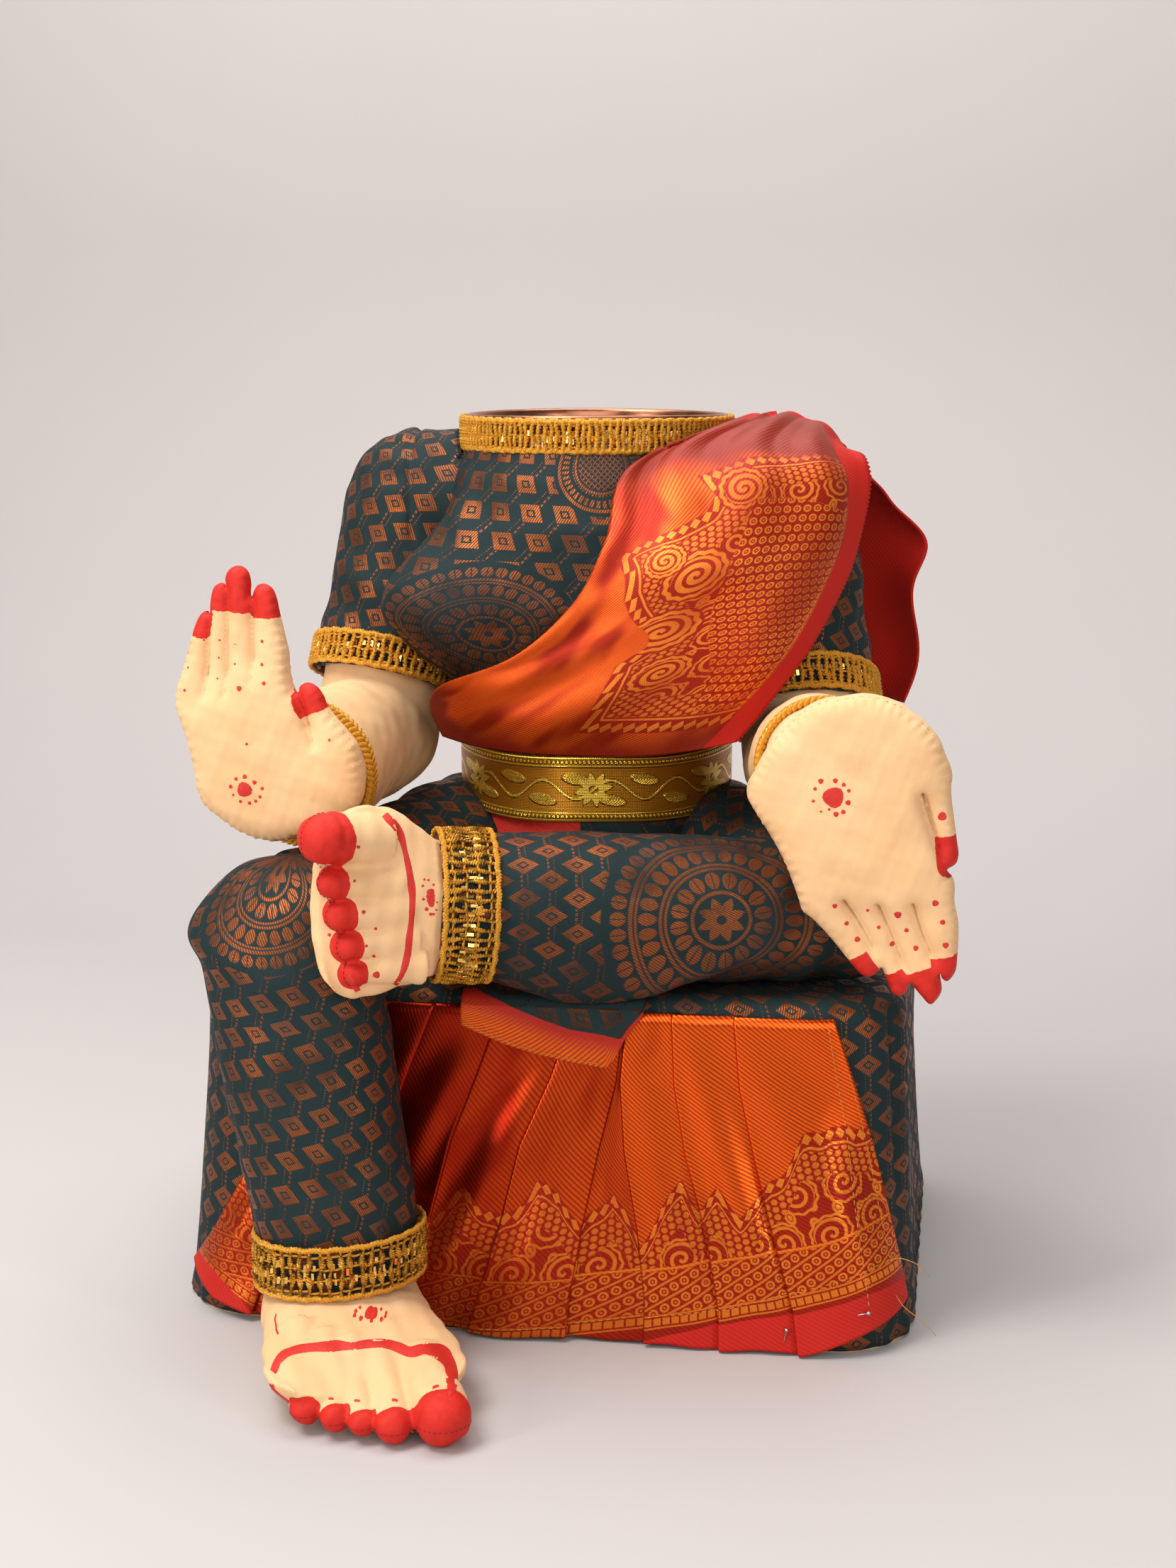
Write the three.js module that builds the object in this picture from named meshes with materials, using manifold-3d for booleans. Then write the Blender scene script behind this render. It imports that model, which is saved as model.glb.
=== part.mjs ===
// A seated cloth deity figure on a padded stool, with a copper cup for its neck.
// Millimetres, +Z up, facing -Y. The origin is the middle of the stool's base on the floor.
// "Right" and "left" are the figure's own: its right side is at -X.
import * as THREE from "three";
import { mergeVertices } from "three/addons/utils/BufferGeometryUtils.js";
import Module from "manifold-3d";

const wasm = await Module();
wasm.setup();

// Driving sizes
const gap = 0.3; // left between pieces that touch
const overrun = 5; // how far a cut runs past what it cuts

const seat = {
  width: 304,
  depth: 226,
  height: 147,
  aside: -5, // its middle stands this far to the figure's right
  flare: 8, // how far each side of the cover stands out at the floor
  corner: 38,
  edge: 9,
  cover: 2.2,
  board: 9,
};

const torso = {
  back: 25, // its axis stands this far behind the middle of the stool
  height: 219,
  waistAt: 73, // middle of the belt above the stool
  waistWide: 60.5,
  waistDeep: 60,
  hipWide: 70,
  chestWide: 60.5,
  chestDeep: 77,
  neckWide: 62.5,
  cloth: 1.8,
  bustReach: 42,
  bustSpread: 32,
  bustAt: 152, // above the stool
};
const bustTurn = 50; // degrees from the front
const bustTurnSpread = 26;

const cup = {
  radius: 57.5,
  wall: 1.2,
  lip: 1.5,
  lipHeight: 3,
  depth: 88,
  foot: 8, // radius of the rounded bottom edge
  proud: 15, // how far the rim stands above the shoulders
};

const lace = { width: 15, thick: 2.4 }; // at the neck and the sleeves
const ankleLace = { width: 24, thick: 2.4 };
const collarDrop = 1.5; // from the cup's rim to the top of the collar lace

const belt = { width: 29, thick: 2 };

const shoulder = { out: 82, inner: 52, back: 3, below: 28, radius: 36 };
const sleeve = { radius: 34, cloth: 2 };
// Where a sleeve ends and how far its mouth is turned up in front, in degrees; the elbow lies below it
const rightSleeve = { drop: 80, spread: 13, forward: 22, elbow: 22 };
const leftSleeve = { drop: 92, spread: 14, forward: 20, elbow: 19 };
const mouthTurn = { right: 5, left: 17 };
const elbow = { radius: 29 };
const elbowSwing = { right: 22, left: 20 }; // degrees each forearm swings outwards
const swingShares = [0, 0.5, 1];
const armTaperShare = 0.6; // how much of the sleeve's taper is gone halfway down
const forearmTaperShare = 0.3;
const wristRadius = 27.5;
const armWire = 1.6;

const bangle = { width: 8, thick: 3.4 };

const palm = { half: 40, thick: 12.5, sink: 5 };
const rightPalm = { x: -118, front: -1, above: 95 }; // front is measured from the stool's front
const leftPalm = { x: 122.5, front: 12, above: 88.5 };
const rightWrist = { x: -107.5, above: 87.5 };
const leftWrist = { x: 115, above: 99 };

const thigh = { radius: 28, hipRadius: 35, hipX: 54, hipForward: 8 };
const rightKnee = { x: -104, front: 23, top: 57 }; // front is measured from the stool's front
const shin = { wide: 38.5, deep: 30, ankleWide: 32.5, ankleDeep: 28, lean: 24, step: 26, end: 36 };
const leftKnee = { x: 120, behind: 45, radius: 29 };
const leftAnkle = { x: -44, behind: -14, above: 39.5, radius: 29 };

const foot = { half: 41, length: 74, heel: 30, rise: 25, sole: 20 };
const crossedFoot = { half: 38, length: 56, heel: 24, rise: 24, sole: 20 };
const crossedFootBack = 8; // how far its middle stands behind the end of the leg
const crossedFootLift = 5;
const bigToe = 11.5;
const footTurn = 21; // degrees the standing foot turns in

const pleat = { count: 11, deep: 4.5, cloth: 1.6, hem: 3, cornerRise: 24 }; // the hem rises at both corners
const skirt = { topLeft: -80, topRight: 109, bottomLeft: -158, bottomRight: 158 };

const drape = { cloth: 2, reach: 127, rideUp: 1.2 };
const flap = { left: -30, right: 48, back: 35, cloth: 1.6, hang: 19 }; // back is measured from the stool's front

// Materials
const paint = (color, roughness, metalness) => new THREE.MeshStandardMaterial({ color, roughness, metalness });
const greenBrocade = paint(0x1c2f2d, 0.55, 0.15);
const orangeBrocade = paint(0xc4481a, 0.4, 0.35);
const skin = paint(0xf3d3a0, 0.85, 0);
const redBorder = paint(0xb3271f, 0.7, 0);
const goldLace = paint(0xc98a17, 0.4, 0.7);
const goldRibbon = paint(0x94731a, 0.4, 0.6);
const copper = paint(0x9a6248, 0.25, 1);
const filling = paint(0xece8df, 0.95, 0);
const plywood = paint(0xb98f5e, 0.8, 0);
const wire = paint(0x9c9ea0, 0.35, 1);

// Geometry helpers
const vec = (x, y, z) => new THREE.Vector3(x, y, z);
const rad = THREE.MathUtils.degToRad;
const mix = THREE.MathUtils.lerp;
const range = (n) => Array.from({ length: n }, (_, i) => i);

// A closed mesh as a solid that can be cut and joined.
function solid(geometry) {
  const g = geometry.clone();
  g.deleteAttribute("normal");
  g.deleteAttribute("uv");
  const merged = mergeVertices(g, 1e-4);
  return new wasm.Manifold(
    new wasm.Mesh({
      numProp: 3,
      vertProperties: new Float32Array(merged.attributes.position.array),
      triVerts: new Uint32Array(merged.index.array),
    }),
  );
}

function geometryOf(made) {
  const mesh = made.getMesh();
  const g = new THREE.BufferGeometry();
  g.setAttribute("position", new THREE.BufferAttribute(mesh.vertProperties, 3));
  g.setIndex(new THREE.BufferAttribute(mesh.triVerts, 1));
  g.computeVertexNormals();
  return g;
}

// A solid from a grid of points whose rows close on themselves. The ends are capped,
// or joined to each other when the grid closes both ways.
function skinOf(rings, joined = false) {
  const n = rings[0].length;
  const points = rings.flat();
  const faces = [];
  const rows = joined ? rings.length : rings.length - 1;
  for (const i of range(rows)) {
    const below = i * n;
    const above = ((i + 1) % rings.length) * n;
    for (const j of range(n)) {
      const k = (j + 1) % n;
      faces.push(below + j, below + k, above + k, below + j, above + k, above + j);
    }
  }
  if (!joined) {
    for (const [ring, start, flip] of [
      [rings[0], 0, true],
      [rings.at(-1), (rings.length - 1) * n, false],
    ]) {
      const middle = ring.reduce((sum, p) => sum.add(p), vec(0, 0, 0)).divideScalar(n);
      const hub = points.push(middle) - 1;
      for (const j of range(n)) {
        const k = (j + 1) % n;
        faces.push(...(flip ? [hub, start + k, start + j] : [hub, start + j, start + k]));
      }
    }
  }
  const g = new THREE.BufferGeometry().setFromPoints(points);
  g.setIndex(faces);
  const made = solid(g);
  if (made.volume() >= 0) return made;
  g.setIndex(faces.map((_, i) => faces[i - (i % 3) + 2 - (i % 3)]));
  return solid(g);
}

// An oval ring round a point. side and up are its two directions.
function oval(at, side, up, wide, deep, sides) {
  return range(sides).map((i) => {
    const a = (2 * Math.PI * i) / sides;
    return at
      .clone()
      .addScaledVector(side, wide * Math.cos(a))
      .addScaledVector(up, deep * Math.sin(a));
  });
}

// A stuffed limb through stations { at, wide, deep }, with round ends where asked.
function limb(stations, side, sides, { startRound = 0, endRound = 0 } = {}) {
  const roundShares = [80, 52, 25];
  const tangent = (i) => {
    const a = stations[Math.max(i - 1, 0)].at;
    const b = stations[Math.min(i + 1, stations.length - 1)].at;
    return b.clone().sub(a).normalize();
  };
  const all = stations.map((s, i) => ({ ...s, along: tangent(i) }));
  const domed = (end, reach, sign) =>
    roundShares.map((degrees) => ({
      at: end.at.clone().addScaledVector(end.along, sign * reach * Math.sin(rad(degrees))),
      wide: end.wide * Math.cos(rad(degrees)),
      deep: end.deep * Math.cos(rad(degrees)),
      along: end.along,
    }));
  const first = all[0];
  const last = all.at(-1);
  const before = startRound ? domed(first, startRound, -1) : [];
  const after = endRound ? domed(last, endRound, 1).reverse() : [];
  return skinOf(
    [...before, ...all, ...after].map((s) => {
      const up = s.along.clone().cross(side).normalize();
      const across = up.clone().cross(s.along).normalize();
      return oval(s.at, across, up, s.wide, s.deep, sides);
    }),
  );
}

// A flat band round a closed ring of inner points, each with its outward and its upward direction.
function band(inner, outward, upward, thick, width) {
  return skinOf(
    inner.map((p, i) => {
      const out = outward(i);
      const up = upward(i);
      const q = p.clone().addScaledVector(out, thick);
      return [p, q, q.clone().addScaledVector(up, width), p.clone().addScaledVector(up, width)];
    }),
    true,
  );
}

// A band round a limb, from a middle point along an axis.
function cuff(from, along, side, wide, deep, { thick, width }, sides) {
  const up = along.clone().cross(side).normalize();
  const across = up.clone().cross(along).normalize();
  const inner = oval(from, across, up, wide, deep, sides);
  const out = oval(vec(0, 0, 0), across, up, 1, 1, sides);
  return band(inner, (i) => out[i], () => along, thick, width);
}

// A sheet of cloth over a grid of points, with its faces half the thickness to each side.
function sheet(grid, thick) {
  const rows = grid.length;
  const columns = grid[0].length;
  const normal = (i, j) => {
    const a = grid[Math.min(i + 1, rows - 1)][j].clone().sub(grid[Math.max(i - 1, 0)][j]);
    const b = grid[i][Math.min(j + 1, columns - 1)].clone().sub(grid[i][Math.max(j - 1, 0)]);
    return b.cross(a).normalize();
  };
  return skinOf(
    grid.map((row, i) => [
      ...row.map((p, j) => p.clone().addScaledVector(normal(i, j), thick / 2)),
      ...row.map((p, j) => p.clone().addScaledVector(normal(i, j), -thick / 2)).reverse(),
    ]),
  );
}

// Points between hand-placed ones, smooth both ways.
function smoothGrid(coarse, rows, columns) {
  const lines = coarse.map((row) => new THREE.CatmullRomCurve3(row, false, "centripetal").getPoints(columns));
  return range(rows + 1).map((i) =>
    range(columns + 1).map((j) =>
      new THREE.CatmullRomCurve3(
        lines.map((line) => line[j]),
        false,
        "centripetal",
      ).getPoint(i / rows),
    ),
  );
}

// The largest body of what a cut leaves, without the slivers beside it or needless corners on its faces
const finest = 0.01;
function mainBody(made) {
  return made
    .decompose()
    .reduce((best, body) => (body.volume() > best.volume() ? body : best))
    .asOriginal()
    .simplify(finest);
}

const group = new THREE.Group();
function add(name, material, made) {
  const mesh = new THREE.Mesh(geometryOf(mainBody(made)), material);
  mesh.name = name;
  group.add(mesh);
  return made;
}

// Stool: the outline at a height, inset from the cover's outside
const cornerSteps = 5;
const seatTop = seat.height;
const seatSink = seat.cover + gap;
function seatHalf(z, inset) {
  const flare = seat.flare * (1 - z / seat.height) ** 2;
  return { x: seat.width / 2 + flare - inset, y: seat.depth / 2 + flare - inset };
}
function seatRing(z, inset) {
  const half = seatHalf(z, inset);
  const r = Math.max(seat.corner - inset, gap);
  return range(4).flatMap((quarter) =>
    range(cornerSteps + 1).map((i) => {
      const a = ((quarter + i / cornerSteps) * Math.PI) / 2;
      const sx = quarter === 0 || quarter === 3 ? 1 : -1;
      const sy = quarter < 2 ? 1 : -1;
      return vec(seat.aside + sx * (half.x - r) + r * Math.cos(a), sy * (half.y - r) + r * Math.sin(a), z);
    }),
  );
}
// Levels from the floor to the rolled top edge, as shares of the height, and the edge's turn in degrees
const seatLevelShares = [0, 0.05, 0.3, 0.65];
const seatEdgeTurns = [0, 30, 60, 85];
function seatShape(inset, floor, lower) {
  const top = seat.height - lower;
  const levels = seatLevelShares.map((share) => share * (seat.height - seat.edge));
  const rings = [floor, ...levels.filter((z) => z > floor + gap)].map((z) => seatRing(z, inset));
  const edge = seatEdgeTurns.map((turn) =>
    seatRing(
      top - seat.edge + seat.edge * Math.sin(rad(turn)),
      inset + seat.edge * (1 - Math.cos(rad(turn))),
    ),
  );
  return skinOf([...rings, ...edge]);
}
const seatOuter = seatShape(0, 0, 0);
add("seat_cover", greenBrocade, seatOuter.subtract(seatShape(seat.cover, -overrun, seat.cover)));
add("seat_block", filling, seatShape(seatSink, seat.board + gap, seatSink));
add("seat_board", plywood, skinOf([seatRing(0, seatSink), seatRing(seat.board, seatSink)]));

// Pleated front of the skirt: knife pleats that fan out over the stool's front and round its corners
function seatFace(s, z, lift) {
  const half = seatHalf(z, -lift);
  const r = seat.corner + lift;
  const straight = half.x - r;
  const side = Math.sign(s);
  const past = Math.abs(s) - straight;
  if (past <= 0) return vec(seat.aside + s, -half.y, z);
  const turn = Math.min(past / r, Math.PI / 2);
  const x = seat.aside + side * (straight + r * Math.sin(turn));
  return vec(x, -half.y + r * (1 - Math.cos(turn)), z);
}
// Where a pleat's face stands, across the pleat, as shares of its width and depth
const pleatFoldShares = [
  [0, 1],
  [0.5, 0.72],
  [0.86, 0.3],
  [0.94, 0],
];
const skirtLevelShares = [0, 0.12, 0.35, 0.6, 0.82, 1];
const pleatTopShare = 0.45; // how deep the pleats are at the top
const cornerPower = 6; // how sharply the hem rises at its corners
function pleatedSkirt(grow) {
  const across = range(pleat.count).flatMap((i) =>
    pleatFoldShares.map(([u, depth]) => ({ u: (i + u) / pleat.count, depth })),
  );
  across.push({ u: 1, depth: 1 });
  const rings = skirtLevelShares.map((v) => {
    const level = (u) => mix(seat.height - seat.edge, pleat.hem + pleat.cornerRise * (2 * u - 1) ** cornerPower, v);
    const from = mix(skirt.topLeft, skirt.bottomLeft, v);
    const to = mix(skirt.topRight, skirt.bottomRight, v);
    const front = across.map(({ u, depth }) =>
      seatFace(mix(from, to, u), level(u), grow + gap + pleat.cloth + pleat.deep * depth * mix(pleatTopShare, 1, v)),
    );
    const back = across.map(({ u }) => seatFace(mix(from, to, u), level(u), gap)).reverse();
    return [...front, ...back];
  });
  return skinOf(rings);
}
add("skirt_pleats", orangeBrocade, pleatedSkirt(0));

// Flap of the body cloth that lies on the stool under the crossed leg and hangs over the pleats.
// The stool's edge is followed as steps: out past the edge and down, as shares of its roll.
const flapStepShares = [
  [-0.7, 0],
  [0.1, 0.04],
  [0.7, 0.32],
  [1.15, 0.85],
];
const flapEndShares = [0.35, 0.72, 0.92, 1, 0.5]; // length of the hanging end across the flap
const flapCrestShare = 0.6; // how far over the pleats' crests it stands
function frontFlap(grow) {
  const lift = gap + flap.cloth / 2;
  const front = -seat.depth / 2;
  const edgeY = front + seat.edge;
  const reach = seat.edge + pleat.cloth + pleat.deep * flapCrestShare + 2 * gap;
  const top = seat.height + lift;
  const columns = flapEndShares.length;
  const x = (i) => mix(flap.left - grow, flap.right + grow, i / (columns - 1));
  const across = (y, z) => range(columns).map((i) => vec(x(i), y, z));
  const rows = [across(front + flap.back + grow, top)];
  for (const [out, down] of flapStepShares) rows.push(across(edgeY - reach * Math.min(out, 1), top - seat.edge * down));
  const hang = flapEndShares.map((share, i) =>
    vec(x(i), edgeY - reach - lift, top - seat.edge - (flap.hang - seat.edge) * share - grow),
  );
  rows.push(rows.at(-1).map((p, i) => p.clone().lerp(hang[i], 0.5).setY(edgeY - reach - lift / 2)), hang);
  return sheet(rows, flap.cloth + 2 * grow);
}
add("front_flap", greenBrocade, frontFlap(0).subtract(seatShape(-gap, -overrun, -gap)).subtract(pleatedSkirt(gap)));

// Torso: half width and half depth at heights above the stool, with two lobes at the bust
const axis = vec(0, torso.back, 0);
const torsoTop = seatTop + torso.height;
const hipShare = 0.6; // how much of the hips' swell is gone halfway to the belt
const chestShares = { start: 0.6, end: 0.5, neck: 0.8 };
const torsoProfile = [
  { at: 0, wide: torso.hipWide, deep: torso.waistDeep },
  { at: torso.waistAt / 2, wide: mix(torso.hipWide, torso.waistWide, hipShare), deep: torso.waistDeep },
  { at: torso.waistAt - belt.width / 2, wide: torso.waistWide, deep: torso.waistDeep },
  { at: torso.waistAt + belt.width / 2, wide: torso.waistWide, deep: torso.waistDeep },
  {
    at: mix(torso.waistAt, torso.bustAt, chestShares.start),
    wide: torso.chestWide,
    deep: mix(torso.waistDeep, torso.chestDeep, chestShares.start),
  },
  { at: torso.bustAt, wide: torso.chestWide, deep: torso.chestDeep },
  { at: mix(torso.bustAt, torso.height, chestShares.end), wide: torso.chestWide, deep: torso.chestDeep },
  {
    at: mix(torso.bustAt, torso.height, chestShares.neck),
    wide: torso.neckWide,
    deep: mix(torso.neckWide, torso.chestDeep, chestShares.end),
  },
  { at: torso.height, wide: torso.neckWide, deep: torso.neckWide },
];
function torsoRadius(turn, above) {
  const next = Math.max(1, torsoProfile.findIndex((p) => p.at >= above - gap));
  const [a, b] = [torsoProfile[next - 1], torsoProfile[next]];
  const share = (above - a.at) / (b.at - a.at);
  const wide = mix(a.wide, b.wide, share);
  const deep = mix(a.deep, b.deep, share);
  const plain = 1 / Math.hypot(Math.sin(turn) / wide, Math.cos(turn) / deep);
  const degrees = Math.abs(THREE.MathUtils.radToDeg(turn));
  const rise = (above - torso.bustAt) / torso.bustSpread;
  return plain + torso.bustReach * Math.exp(-(((degrees - bustTurn) / bustTurnSpread) ** 2) - rise ** 2);
}
// A point round the torso's axis. turn is from the front towards +X.
const around = (turn, radius, z) => vec(axis.x + radius * Math.sin(turn), axis.y - radius * Math.cos(turn), z);
const torsoSides = 28;
// Every slice of the torso takes its faces from the same rings, at these shares of its height.
const torsoLevelShares = [0, 0.14, 0.27, 0.42, 0.52, 0.6, 0.68, 0.76, 0.84, 0.92, 1];
const torsoLevels = torsoLevelShares.map((share) => share * torso.height);
function torsoRing(above, grow) {
  const level = THREE.MathUtils.clamp(above, 0, torso.height);
  const next = Math.max(
    1,
    torsoLevels.findIndex((l) => l >= level),
  );
  const [low, high] = [torsoLevels[next - 1], torsoLevels[next]];
  return range(torsoSides).map((i) => {
    const turn = (2 * Math.PI * i) / torsoSides - Math.PI;
    const radius = mix(torsoRadius(turn, low), torsoRadius(turn, high), (level - low) / (high - low));
    return around(turn, radius + grow, seatTop + above);
  });
}
// The slice of the torso between two heights, grown or shrunk all round
function torsoSlice(from, to, grow) {
  const between = torsoLevels.filter((level) => level > from + gap && level < to - gap);
  return skinOf([from, ...between, to].map((level) => torsoRing(level, grow)));
}
const clothSink = torso.cloth + 3 * gap;
const beltTop = torso.waistAt + belt.width / 2;
const beltBottom = torso.waistAt - belt.width / 2;
const torsoWhole = torsoSlice(gap, torso.height, gap);

// Copper cup that forms the neck, sunk in the chest
const rimTop = torsoTop + cup.proud;
const cupBottom = rimTop - cup.depth;
const collarBottom = rimTop - collarDrop - lace.width;
const footSteps = 2;
function cupProfile() {
  const inner = cup.radius - cup.wall;
  const outside = new THREE.Path();
  outside.moveTo(0, cupBottom);
  outside.lineTo(cup.radius - cup.foot, cupBottom);
  outside.absarc(cup.radius - cup.foot, cupBottom + cup.foot, cup.foot, -Math.PI / 2, 0, false);
  outside.lineTo(cup.radius, rimTop - cup.lipHeight);
  outside.lineTo(cup.radius + cup.lip, rimTop - cup.lipHeight / 2);
  outside.lineTo(cup.radius + cup.lip, rimTop - cup.wall);
  outside.lineTo(cup.radius, rimTop);
  outside.lineTo(inner, rimTop - cup.wall);
  outside.lineTo(inner, cupBottom + cup.foot);
  outside.absarc(cup.radius - cup.foot, cupBottom + cup.foot, cup.foot - cup.wall, 0, -Math.PI / 2, true);
  outside.lineTo(0, cupBottom + cup.wall);
  return outside.getPoints(footSteps);
}
const cupSides = 28;
const upright = (geometry) => geometry.rotateX(Math.PI / 2).translate(axis.x, axis.y, 0);
add("neck_cup", copper, solid(upright(new THREE.LatheGeometry(cupProfile(), cupSides))));
function cupSocket() {
  const wall = cup.radius + gap;
  const height = rimTop + overrun - cupBottom + gap;
  const plug = new THREE.CylinderGeometry(wall, wall, height, cupSides);
  return solid(upright(plug).translate(0, 0, cupBottom - gap + height / 2));
}
const socket = cupSocket();

add("body_stuffing", filling, torsoSlice(gap, cupBottom - seatTop - 2 * gap, -clothSink));
add("chest_stuffing", filling, torsoSlice(cupBottom - seatTop - gap, torso.height - gap, -clothSink).subtract(socket));
const bodiceFrom = torso.waistAt;
add(
  "bodice",
  greenBrocade,
  torsoSlice(bodiceFrom, torso.height, 0)
    .subtract(torsoSlice(bodiceFrom - overrun, torso.height + overrun, -torso.cloth))
    .subtract(socket),
);
add(
  "waist_wrap",
  redBorder,
  torsoSlice(gap, bodiceFrom - gap, 0).subtract(torsoSlice(gap - overrun, bodiceFrom + overrun, -torso.cloth)),
);

// Belt ribbon and neck lace
function torsoBand(from, width, thick) {
  const inner = torsoRing(torso.waistAt, gap).map((p) => p.setZ(seatTop + from));
  const outward = inner.map((p) => p.clone().sub(axis).setZ(0).normalize());
  return band(inner, (i) => outward[i], () => vec(0, 0, 1), thick, width);
}
const beltBand = torsoBand(beltBottom, belt.width, belt.thick).subtract(torsoWhole);
add("waist_belt", goldRibbon, beltBand);
const beltClear = torsoBand(beltBottom - gap, belt.width + 2 * gap, belt.thick + gap);
const collarFrom = vec(axis.x, axis.y, collarBottom);
const collarInner = cup.radius + cup.lip + gap;
const collar = cuff(collarFrom, vec(0, 0, 1), vec(1, 0, 0), collarInner, collarInner, lace, torsoSides);
add("neck_lace", goldLace, collar.subtract(torsoWhole));

// Arms: side is -1 for the right arm and 1 for the left one
const shoulderZ = torsoTop - shoulder.below;
const armSides = 16;
const rodSides = 8;
const neckClear = (() => {
  const r = collarInner + lace.thick + 2 * gap;
  const height = cup.depth;
  return solid(upright(new THREE.CylinderGeometry(r, r, height, torsoSides)).translate(0, 0, collarBottom + height / 2));
})();
// A solid between two planes square to a direction, from one distance along it to the other
const slab = (made, way, from, to) =>
  made.trimByPlane(way.toArray(), from).trimByPlane(way.clone().negate().toArray(), -to);
function arm(side, name, wrist, palmAt, own, turn) {
  const top = vec(side * shoulder.out, axis.y + shoulder.back, shoulderZ);
  const bottom = vec(side * (shoulder.out + own.spread), axis.y + shoulder.back - own.forward, shoulderZ - own.drop);
  const down = bottom.clone().sub(top).normalize();
  const mouth = down.clone().applyAxisAngle(vec(1, 0, 0), -rad(turn)); // the way the sleeve opens
  const across = vec(1, 0, 0);
  const length = top.distanceTo(bottom);
  // The arm with its shoulder, which runs level to the neck
  const upperArm = (thinner, extra) => {
    const [start, end] = [shoulder.radius - thinner, sleeve.radius - thinner];
    const station = (at, r) => ({ at, wide: r, deep: r });
    const hanging = limb(
      [
        station(top, start),
        station(top.clone().addScaledVector(down, length / 2), mix(start, end, armTaperShare)),
        station(top.clone().addScaledVector(down, length + extra), end),
      ],
      across,
      armSides,
      { startRound: start },
    );
    const inner = vec(side * shoulder.inner, top.y, top.z);
    return hanging.add(limb([station(inner, start), station(top, start)], vec(0, 1, 0), armSides));
  };
  const pivot = bottom.clone().addScaledVector(down, own.elbow);
  const ball = (grow) =>
    solid(new THREE.SphereGeometry(elbow.radius + grow, armSides, armSides / 2).rotateX(Math.PI / 2)).translate([
      pivot.x,
      pivot.y,
      pivot.z,
    ]);
  const thin = sleeve.cloth + gap;
  const mouthAt = mouth.dot(bottom);
  const beyond = sleeve.radius;
  const sleeveOuter = slab(upperArm(0, beyond), mouth, mouthAt - torso.height, mouthAt);
  const elbowBall = ball(gap);
  const rodTo = (from, to, grow) =>
    limb([from, to].map((at) => ({ at, wide: armWire + grow, deep: armWire + grow })), across, rodSides);
  const rodEnd = bottom.clone().addScaledVector(down, -elbow.radius + own.elbow - gap);
  const rod = rodTo(top, rodEnd, 0);
  const rodHole = rodTo(top.clone().addScaledVector(down, -gap), bottom.clone().addScaledVector(down, overrun), gap);
  const sleeveMade = sleeveOuter.subtract(upperArm(sleeve.cloth, beyond)).subtract(torsoWhole).subtract(elbowBall);
  add(`${name}_upper_wire`, wire, rod);
  const laceShell = upperArm(-2 * gap - lace.thick, beyond).subtract(upperArm(-2 * gap, beyond + overrun));
  const cuffLace = slab(laceShell, mouth, mouthAt - lace.width, mouthAt).subtract(torsoWhole);
  add(`${name}_sleeve_lace`, goldLace, cuffLace);

  // Forearm: a ball at the elbow and a tube to the wrist, with a wire inside that reaches into the hand
  const hand = vec(wrist.x, palmAt.y + palm.thick - palm.sink, wrist.z);
  const middle = pivot.clone().lerp(hand, 0.5);
  const mid = mix(elbow.radius, wristRadius, forearmTaperShare);
  const round = (at, r) => ({ at, wide: r, deep: r });
  const tube = (grow) =>
    limb(
      [round(pivot, elbow.radius + grow), round(middle, mid + grow), round(hand, wristRadius + grow)],
      across,
      armSides,
    );
  const neck = (grow) =>
    limb(
      [bottom.clone().addScaledVector(down, 2 * gap - grow), pivot].map((at) => round(at, elbow.radius + grow)),
      across,
      armSides,
    );
  const handwards = hand.clone().sub(pivot).normalize();
  const wireEnd = hand.clone().addScaledVector(handwards, -wristRadius / 2);
  const wireAt = (grow, ends) =>
    limb(
      [
        { at: pivot.clone().addScaledVector(handwards, -ends), wide: armWire + grow, deep: armWire + grow },
        { at: wireEnd.clone().addScaledVector(handwards, ends), wide: armWire + grow, deep: armWire + grow },
      ],
      across,
      rodSides,
    );
  const forearmGrown = (grow) => tube(grow).add(ball(grow)).add(neck(grow));
  const forearm = forearmGrown(0);
  // The forearm at several places of its swing, for the pieces that give way to it
  const swept = swingShares.map((share) => {
    const { x, y, z } = pivot;
    const turning = new THREE.Matrix4().makeTranslation(x, y, z);
    const swing = rad(share * (side < 0 ? elbowSwing.right : -elbowSwing.left));
    turning.multiply(new THREE.Matrix4().makeRotationAxis(down, swing));
    turning.multiply(new THREE.Matrix4().makeTranslation(-x, -y, -z));
    return forearmGrown(gap).transform(turning.elements);
  });
  const clearOf = (made) => swept.reduce((left, reached) => left.subtract(reached), made);
  const armShape = slab(upperArm(thin, 0), mouth, mouthAt - torso.height, mouthAt - gap)
    .subtract(torsoWhole)
    .subtract(elbowBall)
    .subtract(rodHole)
    .subtract(neckClear);
  add(`${name}_sleeve`, greenBrocade, mainBody(clearOf(sleeveMade.subtract(neckClear))));
  add(`${name}_upper_arm`, skin, mainBody(clearOf(armShape)));
  add(`${name}_forearm`, skin, forearm.subtract(wireAt(gap, wristRadius + overrun)));
  add(`${name}_forearm_wire`, wire, wireAt(0, 0));
  const bangleFrom = hand.clone().addScaledVector(handwards, -(bangle.width + palm.thick));
  const bangleIn = wristRadius + gap * 3;
  const bangleMade = cuff(bangleFrom, handwards, across, bangleIn, bangleIn, bangle, armSides);
  return { sleeveOuter, pivot, down, forearm, swept, bangleMade, cuffLace };
}

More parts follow.
